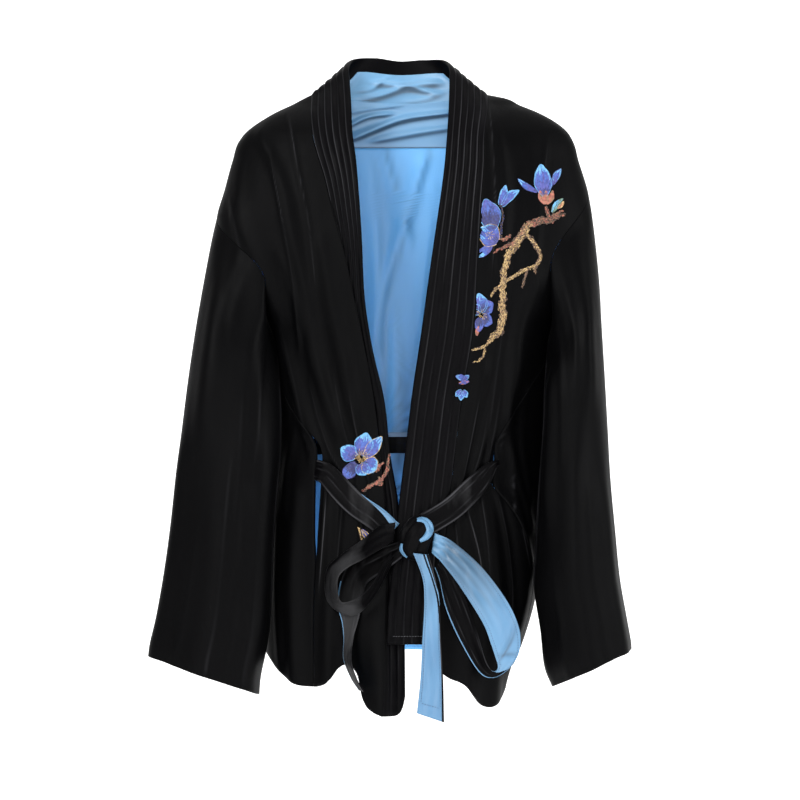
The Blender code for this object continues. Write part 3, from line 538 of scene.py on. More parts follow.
THREADS = {
    "deep": thread("thread_deep_blue", (0.008, 0.009, 0.055), (0.022, 0.028, 0.15)),
    "blue": thread("thread_blue", (0.020, 0.048, 0.22), (0.045, 0.10, 0.38)),
    "violet": thread("thread_violet", (0.032, 0.036, 0.18), (0.07, 0.075, 0.30)),
    "pale": thread("thread_pale_blue", (0.06, 0.20, 0.40), (0.14, 0.38, 0.62)),
    "gold": thread("thread_gold", (0.20, 0.12, 0.04), (0.62, 0.44, 0.20), 0.3),
    "brown": thread("thread_brown", (0.022, 0.012, 0.008), (0.07, 0.036, 0.022)),
    "tan": thread("thread_tan", (0.10, 0.055, 0.025), (0.26, 0.15, 0.08)),
    "coral": thread("thread_coral", (0.16, 0.04, 0.025), (0.40, 0.13, 0.09)),
    "green": thread("thread_green", (0.035, 0.07, 0.05), (0.11, 0.19, 0.13)),
}


# Meshes

def linked(name, data):
    thing = bpy.data.objects.new(name, data)
    bpy.context.scene.collection.objects.link(thing)
    return thing


def mesh_object(name, points, faces, slots, face_slots=None):
    # points in millimetres, faces as a list
    mesh = bpy.data.meshes.new(name)
    mesh.from_pydata((points / 1000).tolist(), [], faces)
    for made_of in slots:
        mesh.materials.append(made_of)
    if face_slots is not None:
        mesh.polygons.foreach_set("material_index", face_slots.astype(np.int32))
    mesh.polygons.foreach_set("use_smooth", np.full(len(faces), True))
    mesh.update()
    return linked(name, mesh)


def quads(rows, columns, start=0, flip=False, loop=False):
    last = columns if loop else columns - 1
    r, c = np.meshgrid(np.arange(rows - 1), np.arange(last), indexing="ij")
    r, c = r.ravel(), c.ravel()
    d = (c + 1) % columns
    above, below = r * columns, (r + 1) * columns
    faces = np.stack([above + c, above + d, below + d, below + c], -1) + start
    return faces[:, ::-1] if flip else faces


def rim(ring, shift):
    ahead = np.roll(ring, -1)
    return np.stack([ring, ring + shift, ahead + shift, ahead], -1)


def signed_volume(points, faces):
    a, b, c, d = (points[faces[:, k]] for k in range(4))
    return np.sum(np.cross(a, b) * c) + np.sum(np.cross(a, c) * d)


def shell(name, outer, inner, slots, loop=False, painted_light_mask=None, inner_painted_shade=None):
    # closed cloth: outer face in slot 0, inner face in slot 1, edges in slot 0
    rows, columns = outer.shape[:2]
    count = rows * columns
    points = np.concatenate([outer.reshape(-1, 3), inner.reshape(-1, 3)])
    front = quads(rows, columns, 0, False, loop)
    behind = quads(rows, columns, count, True, loop)
    top = np.arange(columns)
    if loop:
        edges = [rim(top, count), rim(top[::-1] + (rows - 1) * columns, count)]
    else:
        right = np.arange(1, rows) * columns + columns - 1
        foot = (rows - 1) * columns + np.arange(columns - 1)[::-1]
        left = np.arange(1, rows - 1)[::-1] * columns
        edges = [rim(np.concatenate([top, right, foot, left]), count)]
    edges = np.concatenate(edges)
    faces = np.concatenate([front, behind, edges])
    kinds = np.concatenate([np.zeros(len(front)), np.ones(len(behind)), np.zeros(len(edges))])
    if signed_volume(points, faces) < 0:
        faces = faces[:, ::-1]
    piece = mesh_object(name, points, faces.tolist(), slots, kinds)
    # per point painted light on each face: highlight lines on the pile, painted shade on the satin
    shades = np.zeros((len(points), 4), np.float32)
    shades[:, 3] = 1
    if painted_light_mask is not None:
        shades[:count, :3] = np.clip(painted_light_mask, 0, 1).reshape(-1, 1)
    if inner_painted_shade is not None:
        shades[count:, :3] = np.clip(inner_painted_shade, 0, 1).reshape(-1, 1)
    layer = piece.data.color_attributes.new("painted_light", "FLOAT_COLOR", "POINT")
    layer.data.foreach_set("color", shades.ravel())
    return piece


def declare(piece, node):
    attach(piece, "root")
    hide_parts(node)


def panel(name, phi, z, out):
    outer = torso(phi, z, out)
    normal = torso_normal(phi, z)
    rows = FRONT_CREASES if "front" in name else BACK_CREASES
    # painted highlight lines along the fine creases
    painted_light_mask = painted_light(rows, outer[..., 0], z)
    piece = shell(name + "_cloth", outer, outer - normal * WALL, [VELVET, LINING], painted_light_mask=painted_light_mask)
    declare(piece, name)


def grid_normals(points, loop=False):
    if loop:
        around = np.roll(points, -1, 1) - np.roll(points, 1, 1)
    else:
        around = np.gradient(points, axis=1)
    along = np.gradient(points, axis=0)
    normal = np.cross(around, along)
    return normal / np.maximum(np.linalg.norm(normal, axis=-1, keepdims=True), 1e-9)


# Fronts and back

def lap(x, z):
    return LAP * (1 - ease(x, 15, 80)) * (1 - ease(z, -420, -300))


# columns, rows down to the skirt, rows of the skirt
FRONT_GRID = (130, 150, 75)
BACK_GRID = (180, 120, 56)
left_phi, left_z = front_grid(True, *FRONT_GRID)
panel("left_front", left_phi, left_z, 0.0)
right_phi, right_z = front_grid(False, *FRONT_GRID)
right_x = torso(right_phi, right_z)[..., 0]
panel("right_front", right_phi, right_z, lap(right_x, right_z))
back_phi, back_z = back_grid(*BACK_GRID)
panel("back_panel", back_phi, back_z, 0.0)


# Linings behind the back, on the back panel's own inner face

YOKE_FOOT = -36.5
# shares of the back's width where the linings begin and end
LINING_FROM = 0.145
LINING_TO = 0.855
# the most painted shade the satin takes
DARKEST = 0.85


def yoke_look(x, z, v):
    # painted shade under each slanting fold and along the yoke's foot seam
    painted_shade = 0.30 * slant_shade(YOKE_CREASES, x, z) + 0.7 * ease(v, 0.965, 0.985)
    return slant_folds(YOKE_CREASES, x, z), painted_shade


def back_look(x, z, v):
    # painted shade on the flank of each fold turned from the light, and more lower down, where the fronts
    # shade the back
    shade = folds(LINING_CREASES, x - 3.5, z) - folds(LINING_CREASES, x + 1.5, z)
    return folds(LINING_CREASES, x, z), 0.22 * shade + 0.30 * ease(-z, 230, 340)


def lining(name, node, top, foot, columns, rows, made_of, look):
    # look gives the height of the folds and the painted shade on the satin there
    u = np.linspace(LINING_FROM, LINING_TO, columns)[None, :]
    v = np.linspace(0, 1, rows)[:, None]
    z = top(u) + (foot(u) - top(u)) * v
    right, left = back_edges(z)
    phi = right + (360 - left - right) * u
    point = torso(phi, z)
    normal = torso_normal(phi, z)
    sides = ease(u, LINING_FROM, 0.2) * (1 - ease(u, 0.8, LINING_TO))
    fade = ease(v, 0, 0.04) * (1 - ease(v, 0.97, 1)) * sides
    belt_clear = 1 - 0.6 * np.exp(-((z + 370) / 30) ** 2)
    fold, painted_shade = look(point[..., 0], z, v)
    outer = point - normal * (WALL + LINING_GAP + fold * fade * belt_clear)[..., None]
    # the painted shade goes on the side seen through the opening, which is the inner face
    piece = shell(name, outer, outer - normal * LINING_WALL, [made_of, made_of],
                  inner_painted_shade=np.clip(painted_shade, 0, DARKEST))
    declare(piece, node)


def yoke_top(u):
    return 15.4 - 6.5 * (1 - np.abs(2 * u - 1)) ** 2


def yoke_foot(u):
    return YOKE_FOOT - 3.5 * (1 - (2 * u - 1) ** 2)


def back_lining_top(u):
    return yoke_foot(u) - 0.4


def back_lining_foot(u):
    return -577 + 0 * u


lining("yoke_satin", "yoke_lining", yoke_top, yoke_foot, 130, 70, YOKE, yoke_look)
lining("back_satin", "back_lining", back_lining_top, back_lining_foot, 120, 165, LINING, back_look)


# Collar band

LEFT_FREE = [(-24, -52), (-42, -49), (-94, -44), (-143, -41), (-217, -37), (-260, -30), (-315, -17),
             (-376, -10), (-423, -2), (-488, 2), (-531, 4), (-660, 6)]
RIGHT_FREE = [(-24, 51), (-60, 48), (-99, 43), (-164, 33.5), (-240, 23), (-315, 12),
              (-380, 4.3), (-423, -1), (-488, -7.6), (-531, -12), (-576, -13), (-660, -13)]
TUCK = [
    (16, 0.2), (-60, 0.3), (-95, 0.6), (-115, 1.8), (-134, 3.2), (-150, 5), (-175, 8.5), (-217, 15),
    (-315, 26), (-420, 26), (-660, 26),
]
SET_BACK = [
    (16, 0), (-60, 0), (-95, 0.2), (-112, 2.2), (-130, 4.8), (-148, 6), (-200, 6.6), (-300, 6.6),
    (-660, 6),
]
NECK_FREE = [
    (-52, -22, -10), (-53, -8, 8), (-55, 12, 32), (-56, 28, 47), (-50, 56, 56), (-28, 73, 58),
    (0, 78, 54), (28, 74, 56), (47, 56, 55), (54, 28, 46), (54, 12, 31), (53, -8, 8), (52, -21, -10),
]
NECK_SEAM = [(None, -13), (None, -2), (None, 12), (-89.9, 15.9), (-112, 15.5), (-145, 13), (-180, 8.4),
             (-215, 13), (-248, 15.5), (-270.1, 15.9), (None, 12), (None, -2), (None, -13)]
BAND_FOOT = -576
BAND_INNER = WALL - 0.6


def band_rows(left, heights, across):
    free_x = read(LEFT_FREE if left else RIGHT_FREE, heights)
    seam_x = read(LEFT_SEAM if left else RIGHT_SEAM, heights)
    if left:
        seam_x = seam_x - read(TUCK, heights)
    w = np.linspace(0, 1, across)[None, :]
    z = heights[:, None] + 0 * w
    if left:
        corner = 22 * w ** 14 + 55 * np.clip(1 - w / 0.5, 0, 1) ** 2 - 13
        z = z + corner * ease(-z, 500, 640)
    x = seam_x[:, None] + (free_x - seam_x)[:, None] * w
    out = -read(SET_BACK, z) if left else lap(x, z)
    return on_front(x, z, out)


def neck_rows(across, steps):
    free = np.array(NECK_FREE, float)
    seam = []
    for (x, _, _), (turn, height) in zip(NECK_FREE, NECK_SEAM):
        if turn is None:
            edge = float(read(LEFT_SEAM if x < 0 else RIGHT_SEAM, height))
            seam.append(on_front(edge * 1.01, height, -0.5))
        else:
            seam.append(torso(turn, height, -0.5) * np.array([1.005, 1, 1]))
    seam = np.array(seam)
    k = np.arange(len(free), dtype=float)
    t = np.linspace(0, len(free) - 1, steps)
    free = np.stack([read(list(zip(k, free[:, c])), t) for c in range(3)], -1)
    seam = np.stack([read(list(zip(k, seam[:, c])), t) for c in range(3)], -1)
    w = np.linspace(0, 1, across)[None, :, None]
    return seam[:, None] + (free - seam)[:, None] * w


def band_points(across):
    left = band_rows(True, np.linspace(-640, -24, 130), across)
    right = band_rows(False, np.linspace(-24, BAND_FOOT, 130), across)
    neck = neck_rows(across, 60)
    points = np.concatenate([left, neck, right])
    # the joins of the neck with the fronts are eased
    for _ in range(6):
        for low, high in ((124, 140), (182, 198)):
            middle = (points[low - 1:high - 1] + 2 * points[low:high] + points[low + 1:high + 1]) / 4
            points[low:high] = middle
    return points


def make_collar():
    across = CHANNELS * 10 + 1
    side = np.linspace(0, 1, across)
    points = band_points(across)
    edge = points[:, -1] - points[:, 0]
    edge /= np.linalg.norm(edge, axis=-1, keepdims=True)
    points[:, 0] += edge * SEAM
    normal = grid_normals(points)
    if normal[4, across // 2, 1] > 0:
        normal = -normal
    count = len(points)
    along = np.arange(count)[:, None]
    ripple = 0.12 * np.sin(along * 0.9 + side[None, :] * 22)
    ripple = ripple + 0.1 * np.sin(along * 0.37 + 5 * np.sin(side[None, :] * 9))
    rib = np.abs(np.sin(math.pi * CHANNELS * side))[None, :] ** 0.6
    relief = RELIEF * rib * (1 + ripple)
    foot = np.minimum(along, count - 1 - along)
    relief = relief * (0.35 + 0.65 * ease(foot, 0, 7))
    relief = relief - 0.6 * np.exp(-((foot - 2.0) / 0.8) ** 2)
    outer = points + normal * relief[..., None]
    inner = points - normal * BAND_INNER
    # painted highlight lines along each channel's crest, stronger near where the neck meets the fronts
    crest_highlight = np.exp(-((np.mod(side * CHANNELS, 1) - 0.12) / 0.06) ** 2)[None, :]
    channel = np.floor(side * CHANNELS)[None, :]
    soft = 0.10 + 0.12 * np.sin(along * 0.06 + 2.3 * channel) + 0.06 * np.sin(along * 0.19 + channel)
    soft = soft + 0.35 * np.exp(-((np.abs(along - count / 2) - 40) / 18) ** 2)
    piece = shell("collar_cloth", outer, inner, [VELVET_BAND, VELVET_BAND], painted_light_mask=crest_highlight * soft)
    declare(piece, "collar_band")
    return points, normal, outer


def make_neck_facing(points, normal):
    # satin at the nape, narrower at the band's free edge, so its pile shows at both sides
    neck = [k for k in range(len(points)) if points[k, 0, 1] > 38]
    first, last = neck[0], neck[-1]
    middle = (first + last) / 2
    v = np.linspace(0, 1, 44)[None, :]
    u = np.linspace(-1, 1, 90)[:, None]
    reach = (last - first) / 2 * (1 - 0.36 * ease(v, 0.2, 0.6))
    row = middle + u * reach
    side = (-0.05 + 0.70 * v) * (points.shape[1] - 1) + 0 * u

    def sample(grid):
        r0 = np.clip(row.astype(int), 0, len(grid) - 2)
        c0 = np.clip(side.astype(int), 0, grid.shape[1] - 2)
        fr, fc = (row - r0)[..., None], (side - c0)[..., None]
        low = grid[r0, c0] * (1 - fc) + grid[r0, c0 + 1] * fc
        high = grid[r0 + 1, c0] * (1 - fc) + grid[r0 + 1, c0 + 1] * fc
        return low * (1 - fr) + high * fr

    away = sample(normal)
    flat = sample(points)
    x, z = flat[..., 0], flat[..., 2]
    rise = slant_folds(FACING_CREASES, x, z) * ease(v, 0.05, 0.2) * (1 - ease(v, 0.8, 1))
    outer = flat - away * (BAND_INNER + 0.45 + rise)[..., None]
    inner = outer - away * LINING_WALL
    # painted shade under each slanting crease and a little over all of the facing
    painted_shade = np.clip(0.32 * slant_shade(FACING_CREASES, x, z) + 0.12, 0, DARKEST)
    piece = shell("neck_satin", outer, inner, [YOKE, YOKE], inner_painted_shade=painted_shade)
    declare(piece, "neck_facing")


band, band_normal, band_face = make_collar()
make_neck_facing(band, band_normal)


# Sleeves: outer across, outer height, inner across, inner height, middle depth, half depth
LEFT_SLEEVE = [
    (-198, -118, -141, -238.6, 5, 50), (-203, -140, -136, -246, 2, 50), (-209, -172, -132, -258, -4, 48),
    (-215, -207, -130.5, -276, -15, 45), (-221, -245, -128.5, -300, -27, 43),
    (-228, -295, -127, -335, -37, 42), (-234, -345, -128, -378, -42, 41),
    (-240, -395, -132, -423, -43, 41), (-246, -450, -135.5, -475, -43, 42),
    (-253, -500, -137, -520, -42, 43), (-261, -545, -141, -570, -40, 44),
    (-268, -575, -149, -610, -38, 45), (-270, -589, -151, -631, -37, 45),
]
RIGHT_SLEEVE = [
    (203, -89, 164, -238.6, 6, 50), (207, -112, 160, -247, 2, 50), (211, -145, 157, -260, -3, 50),
    (215, -190, 156.5, -280, -14, 49), (217, -235, 154.5, -306, -28, 49), (220, -290, 153.5, -340, -38, 50),
    (223, -345, 150, -385, -42, 50), (226, -400, 147, -428, -43, 50), (231, -455, 144.5, -478, -43, 50),
    (236, -505, 143.5, -515, -42, 51), (243, -545, 151, -560, -38, 52), (248, -572, 155.5, -600, -35, 53),
    (249, -582, 164, -622, -33, 53),
]
# sleeve, angle round, half width, height, from row, to row, drift of the angle
SLEEVE_FOLDS = [
    ("left", 55, 16, 5.0, 1.0, 7.0, 0), ("left", 110, 14, 4.0, 0.5, 5.0, 0),
    ("left", 25, 14, 4.0, 5.0, 12.5, 0), ("left", 85, 18, 6.0, 6.0, 12.5, 0),
    ("left", 140, 16, 4.5, 5.0, 12.5, 0), ("left", 250, 20, 6.0, 2.0, 12.5, 0),
    ("left", 300, 18, 5.0, 4.0, 12.5, 0), ("right", 60, 15, 4.0, 0.5, 6.0, 0),
    ("right", 135, 15, 6.0, 3.0, 8.0, 0), ("right", 95, 18, 5.0, 5.0, 12.5, 0),
    ("right", 40, 14, 4.0, 6.0, 12.5, 0), ("right", 258, 22, 6.0, 2.0, 12.5, 0),
    ("right", 305, 18, 5.0, 3.0, 12.5, 0), ("right", 160, 12, 3.0, 8.0, 12.5, 0),
    ("left", 70, 6, 1.2, 0.4, 4.0, 9), ("left", 125, 6, 1.4, 1.5, 6.5, -7),
    ("left", 100, 5, 1.0, 4.0, 9.5, 8), ("left", 62, 6, 1.4, 7.0, 12.5, -5),
    ("left", 115, 6, 1.2, 8.0, 12.5, 6), ("left", 225, 8, 1.2, 1.0, 8.0, 9),
    ("left", 265, 8, 1.5, 3.0, 10.5, -8), ("left", 320, 7, 1.3, 5.0, 12.5, 6),
    ("right", 80, 6, 1.3, 0.5, 5.0, 8), ("right", 118, 6, 1.6, 2.0, 7.0, -9),
    ("right", 150, 6, 1.5, 3.5, 9.0, 7), ("right", 70, 6, 1.2, 6.0, 12.5, -6),
    ("right", 120, 6, 1.2, 8.0, 12.5, 5), ("right", 232, 8, 1.2, 1.0, 8.0, -9),
    ("right", 270, 8, 1.5, 3.0, 10.0, 8), ("right", 330, 7, 1.3, 5.0, 12.5, -6),
]


def arm_loop(left, psi):
    arm = LEFT_ARM if left else RIGHT_ARM
    z = (arm[0] + arm[1]) / 2 + (arm[0] - arm[1]) / 2 * np.cos(np.radians(psi))
    turn = 90 - arm_turn(z, arm)
    turn = np.where(np.sin(np.radians(psi)) >= 0, turn, 180 - turn)
    return torso(-turn if left else turn, z)


def sleeve_ring(p, outer_x, outer_z, inner_x, inner_z, middle, half):
    x = (outer_x + inner_x) / 2 + (outer_x - inner_x) / 2 * np.cos(p)
    z = (outer_z + inner_z) / 2 + (outer_z - inner_z) / 2 * np.cos(p)
    return np.stack([x, middle - half * np.sin(p), z], -1)


def outward(points):
    away = grid_normals(points, True)
    if np.sum(away * (points - points.mean(1, keepdims=True))) < 0:
        away = -away
    return away


def sleeve_points(left, rows, psi):
    table = LEFT_SLEEVE if left else RIGHT_SLEEVE
    data = [(k, *row) for k, row in enumerate(table)]
    r = np.asarray(rows, float)[:, None]
    p = np.radians(psi)[None, :]
    points = sleeve_ring(p, *[read(data, r, k) for k in range(1, 7)])
    first = sleeve_ring(p[0], *table[0])
    points += (arm_loop(left, psi) - first)[None] * (1 - ease(r, 0, 4))[..., None]
    push = np.zeros(points.shape[:2])
    for side, angle, wide, height, low, high, drift in SLEEVE_FOLDS:
        if (side == "left") != left:
            continue
        near = (psi[None, :] - angle - drift * (r - low) / (high - low) + 180) % 360 - 180
        if high < 12:
            end = ease(r, low, low + 1.5) * (1 - ease(r, high - 1.5, high))
        else:
            end = ease(r, low, low + 2)
        push = push + height * end * np.exp(-(near / wide) ** 2)
    points = points + outward(points) * push[..., None]
    return points + np.array([-SEAM if left else SEAM, 0, -SEAM]) * (1 - ease(r, 0, 1))[..., None]


def sleeve_painted_highlights(left, rows, psi):
    # painted highlight lines along the sleeve's folds
    r = rows[:, None]
    total = np.zeros((len(rows), len(psi)))
    for k, (side, angle, wide, height, low, high, drift) in enumerate(SLEEVE_FOLDS):
        if (side == "left") != left:
            continue
        shift = drift * (r - low) / (high - low) + 0.4 * wide * (1 if k % 2 else -1)
        near = (psi[None, :] - angle - shift + 180) % 360 - 180
        end = ease(r, low, low + 1.5) * (1 - ease(r, min(high, 12) - 0.8, min(high, 12)))
        soft = (0.5 + 0.4 * np.sin(r * 0.9 + k)) * 0.16 * ease(chance(k, 5), 0.4, 0.9)
        total = np.maximum(total, soft * end * np.exp(-(near / 1.0) ** 2))
    # a painted highlight along the fold that lies along the body
    edge = (0.3 if left else 0.6) * (0.7 + 0.3 * np.sin(r * 3)) * ease(r, 1.5, 3) * (1 - ease(r, 8.5, 10))
    return np.maximum(total, edge * np.exp(-((psi[None, :] - 168) / 1.5) ** 2))


def make_sleeve(left):
    psi = np.arange(144) * 360 / 144
    rows = np.linspace(0, 12, 130)
    points = sleeve_points(left, rows, psi)
    inner = points - outward(points) * WALL
    name = "left_sleeve" if left else "right_sleeve"
    piece = shell(name + "_cloth", points, inner, [VELVET, LINING], True, sleeve_painted_highlights(left, rows, psi))
    declare(piece, name)


make_sleeve(True)
make_sleeve(False)


# Sash: the stretch round the body, the bow's loops and tails

def smooth_line(points, steps):
    points = np.array(points, float)
    k = np.arange(len(points), dtype=float)
    t = np.linspace(0, len(points) - 1, steps)
    return np.stack([read(list(zip(k, points[:, c])), t) for c in range(points.shape[1])], -1)


def ribbon(name, node, first_edge, second_edge, slots, steps, paint=None, across=21,
           slot="belt_velvet", flip=False, rests="belt", gather=0.0, split=None, inside=None,
           dents=(), painted_shade=None):
    # paint and inside give the slot of the outer and inner face at t along and w across, from 0 to 1
    a = smooth_line(first_edge, steps)
    b = smooth_line(second_edge, steps)
    w = np.linspace(0, 1, across)[None, :] + np.zeros((steps, 1))
    if split is not None:
        # the first fifth of the columns covers what turns out, so the line between the cloths is smooth
        share = split(np.linspace(0, 1, steps))[:, None]
        w = np.where(w < 0.2, w / 0.2 * share, share + (w - 0.2) / 0.8 * (1 - share))
    points = a[:, None] * (1 - w[..., None]) + b[:, None] * w[..., None]
    away = grid_normals(points)
    if flip:
        away = -away
    k = np.arange(steps)[:, None]
    t = k / (steps - 1)
    soft = 0.25 * np.sin(k * 0.31 + w * 5) + 0.2 * np.sin(k * 0.17 + 2 * np.sin(w * 7))
    pleats = np.exp(-(np.minimum(t, 1 - t) / 0.16) ** 2)
    pulls = gather * pleats * np.sin(w * 17 + 1.5 * np.sin(k * 0.08))
    edge = 1 - (2 * w - 1) ** 4
    for at, place, long, wide, slant, height in dents:
        near = ((t - at - slant * (w - 0.5)) / long) ** 2 + ((w - place) / wide) ** 2
        pulls = pulls + height * np.exp(-near)
    half = 0.55 * BELT_WALL / 2
    from_edge = np.minimum(w, 1 - w)
    rim_low = 0.35 * np.exp(-((from_edge - 0.1) / 0.035) ** 2)
    rise = half + edge * (0.3 + soft + pulls) - rim_low
    drop = half + edge * (0.25 - 0.6 * (soft + pulls))
    outer = points + away * rise[..., None]
    inner = points - away * drop[..., None]
    # painted highlight: grey lines near both edges of the pile and thin lighter streaks
    lines = np.exp(-((from_edge - 0.06) / 0.022) ** 2)
    lines = lines * np.clip(0.35 + 0.5 * np.sin(k * 0.13 + 6 * w), 0, 1)
    strands = np.exp(-((np.mod(w * 5.3 + 0.5 * np.sin(k * 0.05), 1) - 0.5) / 0.09) ** 2)
    strands = strands * np.clip(np.sin(k * 0.09 + 11 * w), 0, 1) * 0.3
    painted_light_mask = np.maximum(0.95 * lines, strands)
    if painted_shade is not None:
        # on the satin the value is painted shade, on the pile a painted highlight line
        satin_part = paint(t + 0 * w, w + 0 * t) == 0
        painted_light_mask = np.where(satin_part, np.clip(painted_shade(t, w), 0, 0.9), painted_light_mask)
    piece = shell(name, outer, inner, slots, painted_light_mask=painted_light_mask)
    if paint is not None:
        faces = (steps - 1) * (across - 1)
        tt = np.repeat((np.arange(steps - 1) + 0.5) / (steps - 1), across - 1)
        ww = np.tile((np.arange(across - 1) + 0.5) / (across - 1), steps - 1)
        kinds = np.zeros(len(piece.data.polygons), np.int32)
        piece.data.polygons.foreach_get("material_index", kinds)
        kinds[:faces] = paint(tt, ww)
        if inside is not None:
            kinds[faces:2 * faces] = inside(tt, ww)
        piece.data.polygons.foreach_set("material_index", kinds)
    declare(piece, node)
    return outer, away


BELT_PATH = [
    (-2.0, -457, 8.0), (-7, -442, 6.5), (-15, -427, 5.4), (-21.5, -412, 5.0), (-26.5, -400, 4.8),
    (-29.6, -394, 4.4),
    (-32.6, -391.5, 3.8), (-36.1, -390, -0.8), (-39.4, -389.5, -5.4), (-43, -388, -8.2), (-52, -385, -9.8),
    (-72, -377, -10), (-90, -371, -10), (-125, -365, -10),
    (-160, -362, -10), (-200, -362, -10), (-235, -366, -10), (-270, -372, -10), (-290, -377, -10),
    (-308.0, -381, -9.8), (-316.0, -382, -8.2), (-319.4, -382, -5.4), (-322.4, -382, -0.8),
    (-325.3, -384, 3.8), (-328.4, -391, 4.6), (-332, -402, 5.0), (-337, -415, 5.2), (-343, -430, 6.0),
    (-350, -443, 8.0), (-353, -448, 10.0),
]


def belt_edges(steps):
    t = np.linspace(0, len(BELT_PATH) - 1, steps)
    rows = [(k, *row) for k, row in enumerate(BELT_PATH)]
    phi, z, out = [read(rows, t, c) for c in (1, 2, 3)]
    FINE["on"] = False
    centre = torso(phi, z, out)
    normal = torso_normal(phi, z)
    FINE["on"] = True
    along = np.gradient(centre, axis=0)
    wide = np.cross(along, normal)
    wide /= np.linalg.norm(wide, axis=-1, keepdims=True)
    wide *= np.sign(wide[:, 2:3])
    free = ease(np.abs(t - (len(BELT_PATH) - 1) / 2), 9, 12)
    # drawn in to a point where it turns into the right side, as in the photo
    drawn = 0.55 * np.exp(-((phi + 323) / 6.0) ** 2)
    half = (BELT_WIDTH / 2 * (0.78 + 0.1 * free - drawn))[:, None]
    return centre + wide * half, centre - wide * half


LEFT_LOOP = [
    ((-5, -446, 13), (-7, -466, 22)), ((-22, -450, 10), (-18, -472, 28)),
    ((-42, -466, 9), (-38, -484, 32)), ((-62, -480, 9), (-54, -492, 34)),
    ((-77, -494, 9), (-65, -502, 34)), ((-80, -512, 9), (-67, -516, 34)),
    ((-77, -530, 9), (-63, -530, 34)), ((-64, -542, 9), (-52, -529, 34)),
    ((-46, -544, 10), (-39, -521, 33)), ((-27, -524, 11), (-27, -507, 31)),
    ((-14, -500, 13), (-18, -490, 27)), ((-7, -486, 15), (-9, -478, 22)),
]
RIGHT_LOOP = [
    ((37.1, -457, 24), (33.8, -478, 21)), ((56, -466, 31), (45, -489, 26)),
    ((86, -492, 37), (64, -514, 31)), ((112, -526, 40), (88, -552, 35)),
    ((125, -552, 40), (97, -575, 36)), ((128.5, -572, 37), (102, -590, 35)),
    ((125, -589, 32), (104.5, -599, 31)), ((114, -604, 25), (103, -604, 24)),
    ((99, -612, 18), (98, -604, 17)), ((84, -605, 13), (91, -592, 14)), ((64, -572, 11), (82, -560, 12)),
    ((49, -538, 11), (66, -516, 12)), ((42, -508, 12), (55, -494, 13)), ((37, -494, 12), (46, -484, 12)),
]
LONG_TAIL = [
    ((14, -478, 34), (31, -480, 32)), ((24, -505, 28), (38, -506, 26)), ((26, -530, 22), (42, -530, 20)),
    ((24, -570, 17), (44, -572, 15)), ((22, -610, 15), (46, -614, 13)), ((18, -649, 14), (47, -659, 12)),
]
SHORT_TAIL = [
    ((2, -484, 10), (-1, -466, 11)), ((-18, -499, 3.5), (-32, -477, 3.5)), ((-36, -512, 3), (-58, -494, 3)),
    ((-40, -532, 3), (-67, -530, 3)), ((-45, -552, 4), (-62, -553, 4)), ((-50, -570, 10), (-60, -572, 5)),
    ((-52, -592, 30), (-60, -592, 6)), ((-46, -612, 35), (-52, -612, 8)), ((-38, -625, 35), (-44, -624, 9)),
]


# along, across, length, width, slant, height of each dent in the right loop's satin
LOOP_DENTS = [
    (0.07, 0.5, 0.022, 0.7, 0.05, -2.4), (0.14, 0.4, 0.03, 0.5, 0.09, 2.0),
    (0.19, 0.7, 0.02, 0.5, -0.06, -1.8), (0.33, 0.5, 0.018, 0.35, 0.12, -1.6),
    (0.36, 0.55, 0.02, 0.5, 0.10, 2.2), (0.42, 0.4, 0.02, 0.4, -0.08, -2.0),
]


def front_depth(x, z):
    FINE["on"] = False
    depth = float(on_front(x, z)[..., 1])
    FINE["on"] = True
    return depth


def placed(rows):
    first, second = [], []
    for a, b in rows:
        for target, (x, z, away) in ((first, a), (second, b)):
            target.append((x, min(front_depth(x, max(z, -600)), -52) - away, z))
    return first, second


def belt_split(t):
    return 0.015 + 0.28 * (1 - ease(t, 0.0, 0.075))


def paint_belt(t, w):
    # the satin turns out along the top edge just before the knot
    return np.where((w < 0.2) & (t < 0.075), 1, 0)


def inside_belt(t, w):
    return np.where(w < 0.38, 1, 0)


def paint_right_loop(t, w):
    # satin outside the loop, pile inside, with the satin's edge round the foot
    turn = 0.55 + 0.05 * (w - 0.5)
    return np.where(t < turn, 0, np.where(w < 0.06, 0, 1))


def painted_shade_right_loop(t, w):
    # painted shade: dark near the knot, broken into streaks, and in the bends of the dents
    near_knot = (0.70 - 0.25 * w) * (1 - ease(t, 0.13, 0.27)) * ease(t, 0.02, 0.09)
    streaks = 0.10 * np.sin(w * 24 + t * 9) * (1 - ease(t, 0.1, 0.4))
    bends = 0.5 * np.exp(-((t - 0.37 - 0.12 * (w - 0.5)) / 0.018) ** 2)
    bends = bends + 0.4 * np.exp(-((t - 0.455 + 0.08 * w) / 0.014) ** 2)
    return near_knot + streaks + bends * np.exp(-((w - 0.5) / 0.4) ** 2)


def painted_shade_long_tail(t, w):
    # painted shade, darker toward the knot, with a gentle ripple
    return 0.30 * (1 - ease(t, 0.25, 0.6)) + 0.10 * np.sin(t * 16 + 5 * w) - 0.05


def paint_long_tail(t, w):
    velvet_from = 0.60 + 0.31 * ease(t, 0.05, 0.55)
    strip = (w > velvet_from + 0.13) & (w < velvet_from + 0.21) & (t < 0.5)
    return np.where((w < velvet_from) | strip, 0, 1)


def paint_short_tail(t, w):
    return np.where((w > 0.95) & (t > 0.3), 1, 0)


